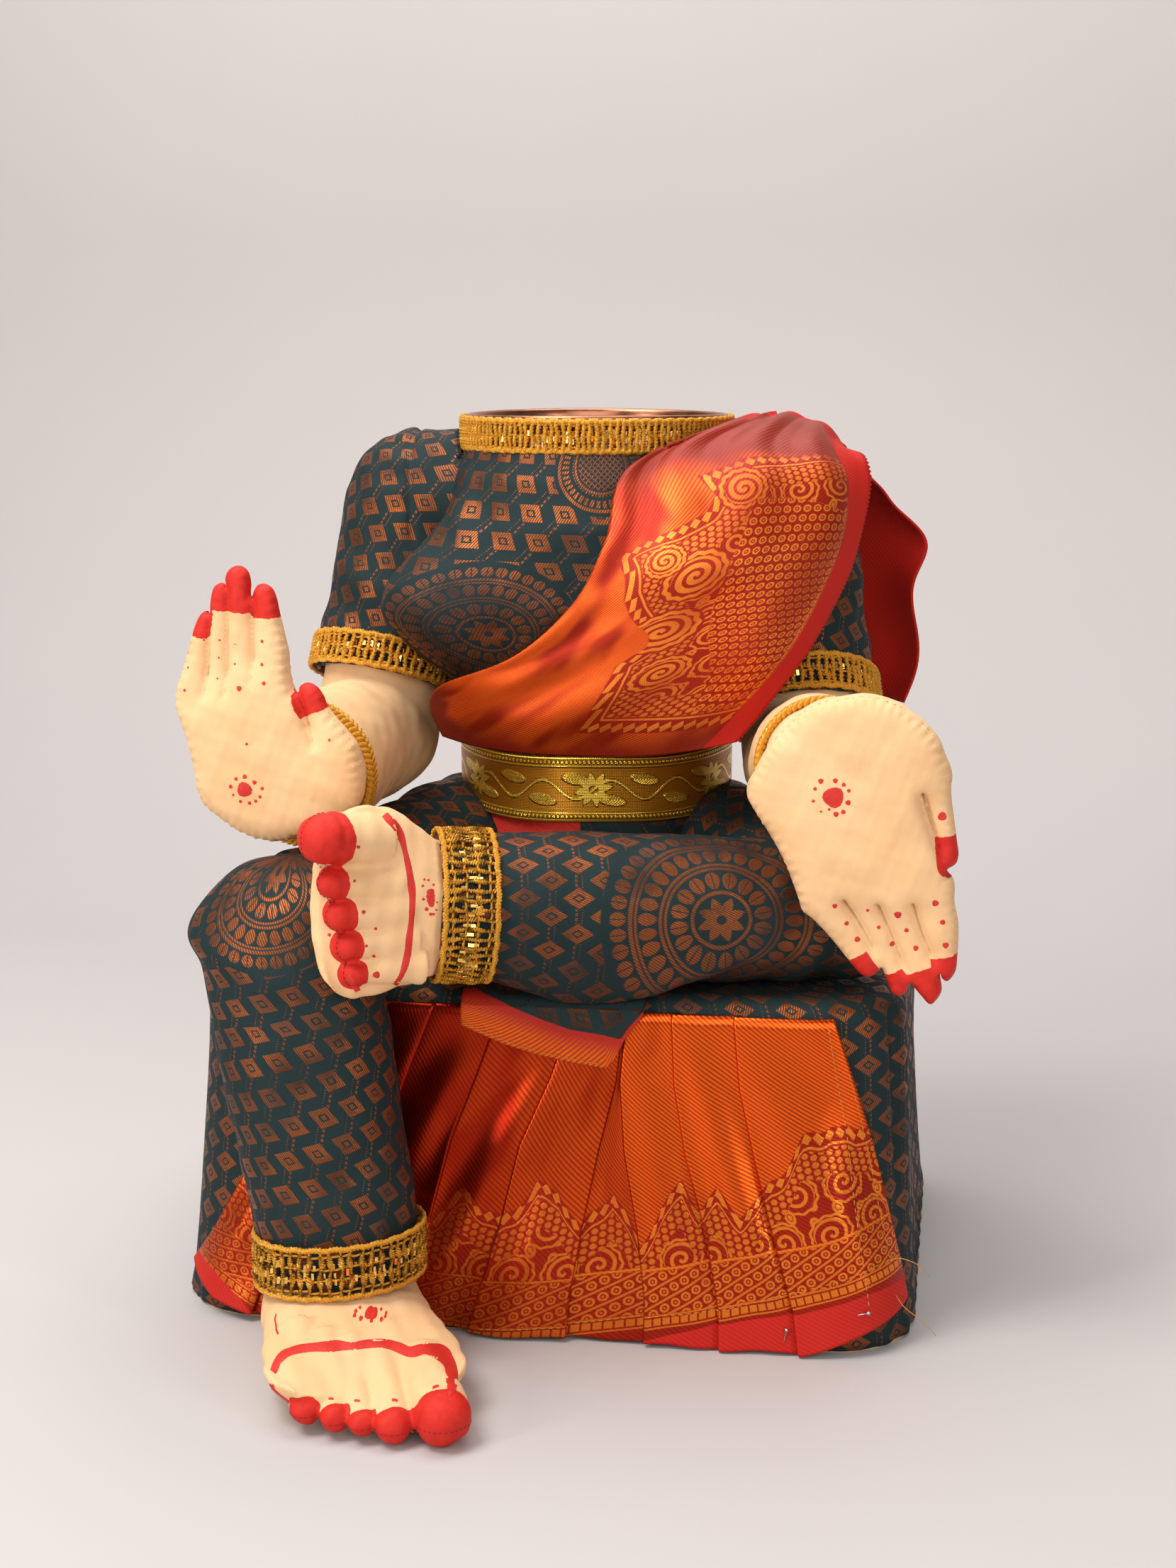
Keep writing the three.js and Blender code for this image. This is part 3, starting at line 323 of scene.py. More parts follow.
class E:
    """A number made by nodes, which can be added, multiplied and compared."""

    def __init__(self, tree, out):
        self.tree, self.out = tree, out

    def op(self, kind, *others):
        n = self.tree.nodes.new("ShaderNodeMath")
        n.operation = kind
        for socket, v in zip(n.inputs, (self, *others)):
            feed(self.tree, socket, v)
        return E(self.tree, n.outputs[0])

    def __add__(self, o):
        return self.op("ADD", o)

    __radd__ = __add__

    def __mul__(self, o):
        return self.op("MULTIPLY", o)

    __rmul__ = __mul__

    def __sub__(self, o):
        return self.op("SUBTRACT", o)

    def __rsub__(self, o):
        return (self * -1) + o

    def __truediv__(self, o):
        return self.op("DIVIDE", o)

    def sin(self):
        return self.op("SINE")

    def cos(self):
        return self.op("COSINE")

    def abs(self):
        return self.op("ABSOLUTE")

    def fract(self):
        return self.op("FRACT")

    def floor(self):
        return self.op("FLOOR")

    def sqrt(self):
        return self.op("SQRT")

    def wave(self):
        """From 0 to 1 and back for each whole step."""
        return self.op("PINGPONG", 0.5) * 2

    def least(self, o):
        return self.op("MINIMUM", o)

    def most(self, o):
        return self.op("MAXIMUM", o)

    def angle(self, x):
        return self.op("ARCTAN2", x)

    def modulo(self, o):
        return self.op("FLOORED_MODULO", o)

    def over(self, edge, soft=0.05):
        """0 below the edge and 1 above it."""
        n = self.tree.nodes.new("ShaderNodeMapRange")
        n.interpolation_type = "SMOOTHSTEP"
        for socket, v in zip(n.inputs, (self, edge - soft, edge + soft, 0.0, 1.0)):
            feed(self.tree, socket, v)
        return E(self.tree, n.outputs[0])

    def under(self, edge, soft=0.05):
        return 1 - self.over(edge, soft)

    def near(self, edge, width, soft=0.05):
        """1 within width of the edge."""
        return (self - edge).abs().under(width, soft)


class Look:
    """A material under construction, with helpers for its nodes."""

    def __init__(self, name, **sockets):
        self.m = bpy.data.materials.new(name)
        self.m.use_nodes = True
        self.t = self.m.node_tree
        self.p = self.t.nodes["Principled BSDF"]
        for key, value in sockets.items():
            self.p.inputs[key.replace("_", " ")].default_value = value

    def node(self, kind, **settings):
        n = self.t.nodes.new(kind)
        for k, v in settings.items():
            setattr(n, k, v)
        return n

    def split(self, vector):
        n = self.node("ShaderNodeSeparateXYZ")
        self.t.links.new(vector, n.inputs[0])
        return [E(self.t, o) for o in n.outputs]

    def cloth(self):
        """Place on the cloth, across and along, in millimetres."""
        return self.split(self.node("ShaderNodeUVMap", uv_map="cloth").outputs[0])[:2]

    def place(self):
        """Place in the object's frame, in millimetres."""
        return [v * 1000 for v in self.split(self.node("ShaderNodeTexCoord").outputs["Object"])]

    def spot(self):
        return self.join(*self.place())

    def attribute(self, name):
        return E(self.t, self.node("ShaderNodeAttribute", attribute_name=name).outputs["Fac"])

    def join(self, x, y=0.0, z=0.0):
        n = self.node("ShaderNodeCombineXYZ")
        for socket, v in zip(n.inputs, (x, y, z)):
            feed(self.t, socket, v)
        return n.outputs[0]

    def noise(self, vector, scale, detail=2.0, rough=0.5):
        n = self.node("ShaderNodeTexNoise")
        for key, v in (("Vector", vector), ("Scale", scale), ("Detail", detail), ("Roughness", rough)):
            feed(self.t, n.inputs[key], v)
        return E(self.t, n.outputs["Fac"])

    def blend(self, fac, a, b):
        """Colour a where fac is 0 and b where it is 1."""
        n = self.node("ShaderNodeMix", data_type="RGBA")
        for i, v in ((0, fac), (6, a), (7, b)):
            feed(self.t, n.inputs[i], v)
        return n.outputs[2]

    def set(self, socket, value):
        feed(self.t, self.p.inputs[socket], value)

    def colour(self, fac, a, b):
        self.set("Base Color", self.blend(fac, a, b))

    def relief(self, height, depth=0.3, strength=1.0):
        n = self.node("ShaderNodeBump")
        for key, v in (("Strength", strength), ("Distance", depth * MM), ("Height", height)):
            feed(self.t, n.inputs[key], v)
        self.set("Normal", n.outputs[0])


def rosette(u, v, radius):
    """Rings of small woven leaves round a flower, as a mask from 0 to 1 within a radius."""
    r = (u * u + v * v).sqrt() / radius
    a = v.angle(u) / TAU

    def leaves(count, middle, half, slit):
        step = (a * count).fract() - 0.5
        high = (r - middle) / half
        blob = (step * step * 5.2 + high * high).sqrt().under(0.95, 0.1)
        return blob * step.abs().over(0.03, 0.015) if slit else blob

    mask = leaves(38, 0.92, 0.075, True).most(leaves(30, 0.66, 0.085, False)).most(leaves(16, 0.38, 0.085, True))
    for at, half in ((0.81, 0.018), (0.765, 0.012), (0.545, 0.014), (0.5, 0.012), (0.26, 0.016)):
        mask = mask.most(r.near(at, half, 0.008))
    petals = (r - (a * 8).wave() * 0.09).under(0.13, 0.012) * r.over(0.045, 0.01)
    return mask.most(petals) * r.under(1.0, 0.01), r


def mango(u, v, radius):
    """A paisley's end: a heavy line, a band of bars, a second line and a net in the middle."""
    r = (u * u + v * v * 0.8).sqrt() / radius
    a = v.angle(u) / TAU
    bars = r.near(0.81, 0.075, 0.012) * (a * 44).wave().over(0.4, 0.1)
    net = ((u + v) / 2.6).wave().most(((u - v) / 2.6).wave()).over(0.7, 0.08) * r.under(0.52, 0.02)
    dots = r.near(0.64, 0.02, 0.01) * (a * 60).wave().over(0.5, 0.1)
    lines = r.near(0.95, 0.035, 0.01).most(r.near(0.585, 0.025, 0.01))
    return lines.most(bars).most(net * 0.8).most(dots), r


def green_brocade(name, turn=0.0, rosettes=(), mangoes=(), arches=None, bright=1.0, hem=False):
    """Dark green silk with copper squares on a slanting net, dashed chains and round flowers of leaves."""
    k = Look(name, Specular_IOR_Level=0.22)
    u, v = k.cloth()
    c, s = math.cos(turn), math.sin(turn)
    x, y = u * c + v * s, v * c - u * s
    # Squares stand on a net of rhombs, and chains of dashes run along its short diagonal.
    p, q = x / 22 + y / 15.6, x / 22 - y / 15.6
    d = ((p.fract() - 0.5).abs()).most((q.fract() - 0.5).abs())
    square = d.under(0.3, 0.015) * (1 - d.near(0.1, 0.025, 0.01))
    column = (x / 11 + 0.5).fract() * 11 - 5.5
    dashes = (column - 0.9).abs().under(0.5, 0.15) * (y / 2.1).fract().under(0.62, 0.08)
    dashes = dashes.most((column + 1.5).abs().under(0.22, 0.1) * (y / 1.1).fract().under(0.5, 0.1))
    motif = square.most(dashes * d.over(0.34, 0.015) * 0.85)
    for made, spots in ((rosette, rosettes), (mango, mangoes)):
        for mu, mv, radius, squash in spots:
            mask, r = made(u - mu, (v - mv) / squash, radius)
            motif = motif * r.over(1.07, 0.01) + mask
    if arches:
        au, av, width, height = arches
        dx, dy = (u - au).abs() / width, (v - av) / height
        tri = dx + dy
        inside = tri.under(1, 0.01) * dy.over(0.0, 0.01)
        bands = (tri * 9).wave().over(0.5, 0.1) * (dy * 26 + dx * 8).wave().over(0.35, 0.1)
        bands = bands.most(tri.near(0.97, 0.025, 0.008)).most(dy.near(0.02, 0.02, 0.008))
        bands = bands.most(tri.near(0.72, 0.012, 0.005))
        motif = motif * (1 - inside) + bands * inside
    threads = ((u * 0.92 - v * 0.45) / 0.95).wave()
    ground_weave = ((u * 0.3 + v) / 0.62).wave() * 0.6 + ((u - v * 0.3) / 0.55).wave() * 0.4
    worn = k.noise(k.join(u, v), 0.04, 3).over(0.42, 0.2)
    bare = k.noise(k.join(u + 40, v), 0.022, 2).over(0.38, 0.14)
    show = motif.least(1) * (0.1 + 0.8 * threads.over(0.42, 0.3)) * (0.34 + 0.66 * bare)
    if hem:
        band = k.attribute("hem").over(0.0, 0.3)
        show = show * (1 - band)
    ground = k.blend(ground_weave, (10, 19, 21), (31, 53, 55))
    # The copper's tones are multiplied by bright. Below 1 this is painted shade, as on the flap.
    copper = k.blend(worn, *(tuple(c * bright for c in tone) for tone in ((80, 40, 20), (170, 88, 34))))
    colour, metal, rough = k.blend(show, ground, copper), show * 0.97, 0.72 - show * 0.4
    if hem:
        slant = ((u * 0.9 + v) / 2.1).wave().over(0.35, 0.35)
        gilt = k.attribute("hem").over(6.0, 5.0) * 0.8
        reds = k.blend(ground_weave, (140, 22, 14), (186, 40, 24))
        reds = k.blend(gilt, reds, k.blend(slant, (160, 44, 14), (232, 108, 32)))
        colour = k.blend(band, colour, reds)
        metal = metal * (1 - band) + band * gilt * 0.8
        rough = rough * (1 - band) + band * (0.6 - gilt * 0.25)
    k.set("Base Color", colour)
    k.set("Metallic", metal)
    k.set("Roughness", rough)
    k.relief(ground_weave * 0.3 + motif * 0.5 + threads * motif * 0.5, 0.16, 0.7)
    return k.m


def scrolls(x, y, size):
    """Curled creepers in square cells: a spiral in each, turning one way and then the other."""
    row = (y / size).floor()
    cx, cy = x / size + row * 0.5, y / size
    col = cx.floor()
    flip = (col + row).modulo(2) * 2 - 1
    px, py = (cx.fract() - 0.5) * flip, cy.fract() - 0.5
    r = (px * px + py * py).sqrt()
    a = py.angle(px)
    curl = ((r * 5.2 - a / TAU).fract() - 0.5).abs().under(0.2, 0.04) * r.under(0.37, 0.02)
    rim = ((r + (a * (11 / TAU)).wave() * 0.035) - 0.44).abs().under(0.028, 0.008)
    return curl.most(rim), r


def staggered(u, v, wide, tall):
    """Place in its cell, from -0.5 to 0.5, in columns of cells that each start half a cell on."""
    return (u / wide).fract() - 0.5, (v / tall + (u / wide).floor() * 0.5).fract() - 0.5


def orange_brocade(name, kind):
    """Orange and copper silk with a woven border. kind is skirt or drape, for how its border runs."""
    k = Look(name, Specular_IOR_Level=0.25)
    u, v = k.cloth()
    skirt = kind == "skirt"
    red, crest = k.attribute("selvedge").over(0.0, 0.15), k.attribute("crest")
    if skirt:
        # v is the height over the border's foot, and crest how far a place is under the border's leafy top
        edge, slope, cell = v, 0.42, 6.2
        ring_zone = edge.over(7.5, 0.4) * edge.under(26, 0.4)
        field = crest.over(0.0, 0.5) * edge.over(27.5, 0.3)
    else:
        edge, slope, cell = u, 0.14, 5.0
        ring_zone = k.attribute("rings").over(0.0, 0.5) * edge.over(16, 0.4)
        field = crest.over(0.0, 0.5) * (1 - ring_zone) * edge.over(16, 0.4)
    twill = ((u * 0.9 + v) / 2.1).wave()
    fine = ((u - v * 0.8) / 0.95).wave()
    # rows of small rings between slanted lines
    c, s = math.cos(slope), math.sin(slope)
    p, q = u * c + v * s, v * c - u * s
    apart = 4.9
    gx, gy = (p / apart + (q / cell).floor() * 0.37).fract() - 0.5, (q / cell).fract() - 0.5
    rr = ((gx * apart) * (gx * apart) + (gy * cell) * (gy * cell)).sqrt()
    lines = (gy.abs() * cell).over(2.6, 0.1)
    ring_mask = rr.near(1.5, 0.45, 0.12).most(rr.under(0.45, 0.12)).most(lines * 0.9)
    # curled creepers, with fans of leaves between them
    curls, r = scrolls(u, v * 1.05, 21.0)
    fx, fy = staggered(u, v, 10.5, 9.0)
    leaf = (fx * fx * 3.4 + fy * fy * 1.5 + fx * fy * 1.2).sqrt()
    leaves = leaf.under(0.42, 0.04) * (1 - leaf.near(0.2, 0.03, 0.015))
    # fish scales fill the tall leaves, and a chain of small leaves runs along the top
    sx, sy = staggered(u, v, 3.6, 3.2)
    scales = (sx * sx + sy * sy).sqrt().under(0.4, 0.05)
    chain = ((u / 5.2).fract() - 0.5).abs() * 2 + (crest - 2.6).abs() / 2.8
    chain = chain.under(0.92, 0.08) * crest.under(5.2, 0.5) * crest.over(0.3, 0.3)
    middle = crest.over(8.0, 0.5) * crest.under(19, 0.6)
    inner = (scales * middle * 0.8).most(curls.most(leaves * r.over(0.44, 0.02)) * crest.over(19.0, 0.6))
    figure = chain.most(crest.near(6.6, 0.5, 0.15)).most(inner)
    if not skirt:
        for mu, mv, size, flip in SPIRALS:
            px, py = (u - mu) / size, (v - mv) / size
            r1 = (px * px + py * py).sqrt()
            a1 = py.angle(px) / TAU
            coil = ((r1 * 2.3 - a1 * flip).fract() - 0.5).abs().under(0.3, 0.05) * r1.under(0.98, 0.03)
            rim = (r1 + (a1 * 13).wave() * 0.1).near(1.22, 0.1, 0.03)
            figure = figure * r1.over(1.4, 0.03) + coil.most(rim)
    motif = (ring_mask * ring_zone).most(figure * field)
    zone = ring_zone.most(field)
    # Painted light: a noise mask. Where it is low, the twill and its threads are painted deep red as shade where the
    # gold weft catches no light. Where it is high, they are painted bright orange as its glint.
    painted_glint_and_shade = k.noise(k.join(u, v * 0.45), 0.035, 2).over(0.46, 0.1)
    if skirt:
        motif = motif.most((u / 3.6).fract().over(0.2, 0.06) * edge.near(4.4, 1.5, 0.15))
        for at, half, soft in ((26.8, 0.45, 0.15), (7.0, 0.35, 0.12), (1.8, 0.35, 0.12)):
            motif = motif.most(edge.near(at, half, soft))
        zone = zone.most(edge.under(7.5, 0.2))
        # On the skirt the mask also rises from left to right, so the left panels get painted shade where the crossed
        # foot shades them.
        painted_glint_and_shade = (painted_glint_and_shade * 0.35 + (u - 150) / 170).least(1).most(0)
    else:
        dashes = (v / 2.6).fract().under(0.62, 0.08) * v.under(136, 1) * v.over(16, 1)
        motif = motif.most(edge.near(17.2, 0.75, 0.15) * dashes)
    worn = k.noise(k.join(u, v), 0.06, 2).over(0.3, 0.2)
    thread = motif * (0.6 + 0.4 * fine) * (0.7 + 0.3 * worn)
    # The painted glint and shade mask sets how much bright orange the twill and the threads get.
    plain = k.blend(twill.over(0.3, 0.5) * (0.1 + 0.9 * painted_glint_and_shade), (140, 18, 8), (250, 104, 32))
    ground = k.blend(zone, plain, k.blend(twill * 0.6, (142, 24, 10), (188, 50, 18)))
    colour = k.blend(thread.least(1) * (0.55 + 0.45 * painted_glint_and_shade), ground, (250, 142, 48))
    colour = k.blend(red, colour, k.blend(twill * 0.5, (176, 22, 12), (212, 44, 26)))
    metal = (0.9 * (1 - zone) + zone * (0.6 + thread * 0.35)) * (1 - red)
    # Over the shoulder the drape is painted a duller, darker red and made less metallic. The same darker red along its
    # foot is painted shade where the drape tucks under.
    if not skirt:
        dulled_top_and_painted_shade = k.attribute("dulled_top_and_painted_shade").over(0.0, 6.0) * (1 - red)
        colour = k.blend(dulled_top_and_painted_shade, colour, k.blend(fine * 0.5 + twill * 0.3, (118, 20, 8), (164, 52, 24)))
        metal = metal * (1 - dulled_top_and_painted_shade * 0.7)
    k.set("Base Color", colour)
    k.set("Metallic", metal.least(0.92) * (1 if skirt else 0.62))
    k.set("Roughness", (0.29 if skirt else 0.42) - thread * 0.03 + red * 0.3)
    k.relief(twill * 0.5 + fine * 0.2 + motif * 0.5, 0.13, 0.6)
    return k.m


def red_cloth(name, base=(186, 34, 26), light=(214, 60, 42)):
    k = Look(name, Roughness=0.6, Specular_IOR_Level=0.25)
    u, v = k.cloth()
    t = ((u + v) / 1.4).wave()
    figure, _ = scrolls(u, v, 18.0)
    k.colour(t * 0.55 + figure * 0.35, base, light)
    k.relief(t, 0.2, 0.6)
    return k.m


def skin_cloth(name):
    """Peach cotton, stuffed tight, with red paint where the tips attribute says."""
    glow = dict(Subsurface_Weight=0.06, Subsurface_Radius=(0.004, 0.002, 0.001))
    k = Look(name, Specular_IOR_Level=0.3, **glow)
    x, y, z = k.place()
    spot = k.join(x, y, z)
    blotch = k.noise(spot, 0.03, 3)
    fine = k.noise(spot, 1.4, 2)
    threads = ((x + y * 0.6) / 0.8).wave() * 0.5 + ((z - y * 0.5) / 0.8).wave() * 0.5
    base = k.blend(blotch.over(0.5, 0.25), (236, 193, 146), (226, 180, 130))
    base = k.blend((fine - 0.5) * 0.3 + threads * 0.12, base, (225, 182, 130))
    ragged = k.noise(spot, 0.35, 2) - 0.5
    paint = (k.attribute("tip") + ragged * 1.6).over(0.0, 0.18)
    crimson = k.blend(k.noise(spot, 0.25, 2), (184, 22, 13), (216, 44, 29))
    k.colour(paint, base, crimson)
    k.set("Roughness", 0.85 - paint * 0.22)
    puckers = k.noise(spot, 0.16, 2)
    k.relief(threads * 0.16 + fine * 0.2 + puckers * 0.6, 0.4, 0.6)
    return k.m


def red_paint(name):
    k = Look(name, Roughness=0.62)
    spot = k.spot()
    k.colour(k.noise(spot, 0.5, 2), (186, 24, 14), (216, 46, 32))
    k.relief(k.noise(spot, 1.5, 2), 0.1, 0.5)
    return k.m


def gold_thread(name, dark=(230, 130, 10), light=(255, 208, 76)):
    """Metal thread, twisted tight, with bright flecks."""
    k = Look(name, Metallic=0.32)
    x, y, z = k.place()
    spot = k.join(x, y, z)
    fleck = k.noise(spot, 1.3, 3, 0.7)
    turns = ((x * 1.2 + y * 0.9 + z * 1.5) / 0.55).wave()
    k.colour((fleck - 0.28) * 1.6 + turns * 0.3, dark, light)
    k.set("Roughness", 0.42 - fleck * 0.36)
    k.relief(turns + fleck * 0.8, 0.18, 0.9)
    return k.m


def gold_foil(name):
    k = Look(name, Metallic=1.0, Roughness=0.12)
    n = k.noise(k.spot(), 0.8, 2)
    k.colour(n, (250, 184, 76), (255, 226, 140))
    k.relief(n, 0.05, 0.4)
    return k.m


def belt_gold(name):
    """Woven gold ribbon with a creeper of leaves and a beaded edge."""
    k = Look(name, Metallic=0.8)
    u, v = k.cloth()
    period = 62.0
    x = (u / period).fract() * period - period / 2
    y = v - 14.5
    # a winding stem, a flower in the middle and leaves between
    stem = (y - (u / period * TAU * 2).sin() * 4.2).abs().under(0.75, 0.25)
    r = (x * x + y * y * 1.25).sqrt()
    a = y.angle(x)
    petals = (r - (a * (8 / TAU) + 0.25).wave() * 4.4).under(4.6, 0.4)
    eye = r.under(2.0, 0.3)
    quarter = u / (period / 4)
    lx = quarter.fract() * (period / 4) - period / 8
    ly = y - (quarter.floor().modulo(2) * 2 - 1) * 4.6
    leaf = (lx * lx * 0.22 + ly * ly * 1.3 + lx * ly * 0.35).sqrt().under(2.9, 0.35)
    vein = ((lx + ly.abs() * 1.2) / 1.3).wave().over(0.35, 0.2)
    figure = (petals - eye).most(leaf * (0.5 + 0.5 * vein)).most(stem) * y.abs().under(9.2, 0.3)
    rail = y.abs().near(10.3, 0.45, 0.15).most(y.abs().near(13.9, 0.5, 0.15))
    bead = ((u / 2.0).fract() - 0.5).abs() * 2.0
    by = y.abs() - 12.1
    beads = (bead * bead + by * by).sqrt().under(0.8, 0.25)
    relief = figure.most(rail).most(beads)
    threads = (v / 0.7).wave() * 0.5 + (u / 0.8).wave() * 0.5
    k.colour((relief * 0.8 + threads * 0.25).least(1), (168, 100, 10), (255, 212, 78))
    k.set("Roughness", 0.36 - relief * 0.12)
    k.relief(relief + threads * 0.14, 0.7, 1.2)
    return k.m


def copper_sheet(name):
    k = Look(name, Metallic=1.0)
    x, y, z = k.place()
    n = k.noise(k.join(x, y, z * 4), 0.12, 4, 0.6)
    k.colour(n, (128, 70, 46), (206, 142, 112))
    k.set("Roughness", 0.18 + n * 0.22)
    k.relief(n, 0.05, 0.4)
    return k.m


def plain_cloth(name, colour, rough=0.85):
    k = Look(name, Roughness=rough)
    n = k.noise(k.spot(), 0.4, 3)
    k.colour(n, tuple(c * 0.86 for c in colour), colour)
    k.relief(n, 0.3, 0.5)
    return k.m


def board_wood(name):
    k = Look(name, Roughness=0.7)
    x, y, z = k.place()
    grain = (y / 9 + k.noise(k.join(x / 8, y, z), 0.05, 3) * 5).wave()
    k.colour(grain, (176, 138, 92), (206, 170, 122))
    k.relief(grain, 0.1, 0.4)
    return k.m


def steel(name):
    k = Look(name, Metallic=1.0, Roughness=0.3)
    k.colour(k.noise(k.spot(), 0.6, 2), (150, 150, 148), (214, 212, 206))
    return k.m


# Shared sizes, in millimetres, as in the part's source
SEAT_W, SEAT_D, SEAT_H, FLARE, CORNER, EDGE, ASIDE = 304, 226, 147, 8, 38, 9, -5
AXIS = arr(0, 25)
TORSO_H, TOP, WAIST = 219, 366, 73
GOLD = gold_thread("gold_thread")
FOIL = gold_foil("gold_foil")
SKIN = skin_cloth("skin_cotton")
PAINT = red_paint("red_paint")
THREAD = plain_cloth("sewing_thread", (222, 196, 156), 0.7)
DARK_THREAD = plain_cloth("crimson_thread", (140, 22, 20), 0.7)
GILT_THREAD = plain_cloth("gilt_thread", (196, 138, 52), 0.5)


# Places on a piece, and sewing
def tree_of(o):
    return BVHTree.FromObject(o, bpy.context.evaluated_depsgraph_get())


def strike(tree, start, way):
    """Where a line from a place meets a skin and which way the skin faces there, or nothing twice."""
    at, normal, *_ = tree.ray_cast(Vector(start) * MM, Vector(way))
    return (None, None) if at is None else (np.array(at) / MM, np.array(normal))


def stitches(name, runs, material, body, slot, radius, long, gap):
    """Short stitches of thread along lines that lie on a surface."""
    girth = radius * arr(0.6, 1, 1.1, 1, 0.6)
    tubes = []
    for path in runs:
        s = lengths(path)
        at = 0.0
        while at + long < s[-1]:
            q = along_line(path, at + np.linspace(0, long, 5), s)
            tubes.append((tube_points(q, girth, 6, (0.3, 0.4, 1)), False))
            at += long + gap
    ride(many_tubes(name, tubes, material), body, slot=slot)


# Stool
def seat_half(z, inset=0.0):
    flare = FLARE * (1 - z / SEAT_H) ** 2
    return SEAT_W / 2 + flare - inset, SEAT_D / 2 + flare - inset


def seat_outline(z, inset, cols):
    """Points round the stool at a height, evenly spaced, from the middle of the front towards +X."""
    hx, hy = seat_half(z, inset)
    r = max(CORNER - inset, 2)
    fx, fy, q = hx - r, hy - r, math.pi * r / 2
    ends = np.cumsum([0, fx, q, 2 * fy, q, 2 * fx, q, 2 * fy, q, fx])
    total = ends[-1]
    corners = [(fx, -fy, -90), (fx, fy, 0), (-fx, fy, 90), (-fx, -fy, 180)]
    out = []
    for at in np.linspace(0, total, cols, endpoint=False):
        k = int(np.searchsorted(ends, at, side="right") - 1)
        d = at - ends[k]
        if k % 2:
            cx, cy, start = corners[k // 2]
            a = math.radians(start) + d / r
            x, y = cx + r * math.cos(a), cy + r * math.sin(a)
        else:
            x, y = ((d, -hy), (hx, -fy + d), (fx - d, hy), (-hx, fy - d), (-fx + d, -hy))[k // 2]
        out.append((x + ASIDE, y, z))
    return np.array(out), total


def seat_cover():
    cols = 420
    levels = [(0.15, 6), (0.2, 2.0), (1.2, 0.8), (3.5, 0.3), (8, 0.1)]
    levels += [(z, 0) for z in np.linspace(14, SEAT_H - EDGE, 30)]
    for a in np.radians([15, 30, 45, 60, 75, 88]):
        levels.append((SEAT_H - EDGE + EDGE * math.sin(a), EDGE * (1 - math.cos(a))))
    levels += [(SEAT_H - 0.2, EDGE + d) for d in (4, 12, 24, 40, 60, 84, 104)]
    rings = []
    for z, inset in levels:
        ring, total = seat_outline(z, inset, cols)
        s = np.linspace(0, total, cols, endpoint=False)
        side = ease((z - 2) / 20) * ease((SEAT_H - z) / 14 + 0.1)
        front = bump(ring[:, 1], -SEAT_D / 2 - 3, 10)
        straight = np.array(seat_half(z)) - CORNER
        near = np.clip(ring[:, :2], (ASIDE, 0) - straight, (ASIDE, 0) + straight)
        n = unit(ring[:, :2] - near)
        fold = 0.9 * np.sin(s / 23 + 1.2 * np.sin(z / 40)) + 0.7 * np.sin(s / 9.5 + z / 30)
        tuck = (1 - np.abs(np.sin(s / 7.5 + z / 90))) ** 2
        gather = (1.6 - 4.4 * tuck) * bump(ring[:, 1], -88, 24) * (ring[:, 0] > 0) * ease((z - 25) / 90)
        pucker = 1.1 * np.sin(s / 2.6) * bump(z, 4, 7)
        push = (fold * side + gather * side + pucker) * (1 - 0.85 * front) - 1.0
        ring[:, :2] += n * np.minimum(push, 1.6)[:, None]
        rings.append(ring)
    P = np.array(rings)
    _, girth = seat_outline(60, 0, cols)
    uv = np.stack(np.meshgrid(lengths(P[:, 0]), np.linspace(0, girth, cols + 1), indexing="ij")[::-1], -1)
    flowers = [(214, 70, 34, 1.0), (214, 148, 30, 1.0), (700, 80, 34, 1.0)]
    mat = green_brocade("stool_brocade", 0.0, flowers)
    o = outward(grid("stool_cover", P, mat, uv, wrap_cols=True, caps=True))
    ride(o, BODY, "seat_cover", "seat_block", slot="green_brocade")


seat_cover()
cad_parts["seat_board"].data.materials.clear()
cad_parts["seat_board"].data.materials.append(board_wood("board_wood"))


# Pleated skirt front
def seat_face(s, z, lift):
    """Place off the stool's front by lift, at s from its middle along the face."""
    hx, hy = seat_half(z)
    hx, hy, r = hx + lift, hy + lift, CORNER + lift
    straight = hx - r
    past = np.abs(s) - straight
    turn = np.clip(past / r, 0, math.pi / 2)
    x = np.where(past > 0, np.sign(s) * (straight + r * np.sin(turn)), s)
    y = np.where(past > 0, -hy + r * (1 - np.cos(turn)), -hy)
    return np.stack([x + ASIDE, y, z], -1)


# Each fold of the skirt: places at six heights from the top down, then how far the cloth stands off
# on the fold's left and on its right. The sixth and seventh panels are a hollow between two crests.
SKIRT_H = 137
HEIGHTS = (144, 113, 84, 50, 20, 2)
FOLDS = [
    ((-80, -98, -114, -132, -148, -158), 0.0, 0.9),
    ((-62, -76, -89, -104, -116, -122), 4.2, 1.0),
    ((-42, -54, -65, -76, -84, -88), 4.4, 1.0),
    ((-14, -25, -35.5, -44, -50, -53), 4.7, 1.0),
    ((19, 8, -4.5, -12.5, -21, -26), 1.3, 4.7),
    ((37, 34, 27, 20.5, 15.5, 14), 4.6, 0.7),
    ((40, 37.5, 39.5, 45.5, 49, 49), 0.7, 4.2),
    ((58.5, 60, 65, 74.5, 80, 80.5), 1.2, 4.8),
    ((84, 87, 93.5, 102.5, 111, 113.5), 1.3, 5.0),
    ((124, 134, 143, 152, 160.5, 165), 1.1, 0.0),
]
SWELLS = (0.5, 0.6, 0.8, -0.4, 1.5, -0.2, 0.9, 1.5, 1.9)
# soft ridges in the panels: height, waves across and down a panel, start
RIDGES = (
    (1.2, 0.9, 1.1, 0.4), (2.1, 0.9, 1.3, 1.2), (2.3, 0.8, 1.2, 2.2), (2.3, 0.9, 1.1, 0.2),
    (1.3, 0.8, 0.9, 1.0), (0.6, 0.6, 0.8, 0.0), (1.6, 0.8, -0.5, 0.6), (2.0, 0.9, -0.6, 0.0),
    (2.1, 0.9, -0.7, 1.4),
)
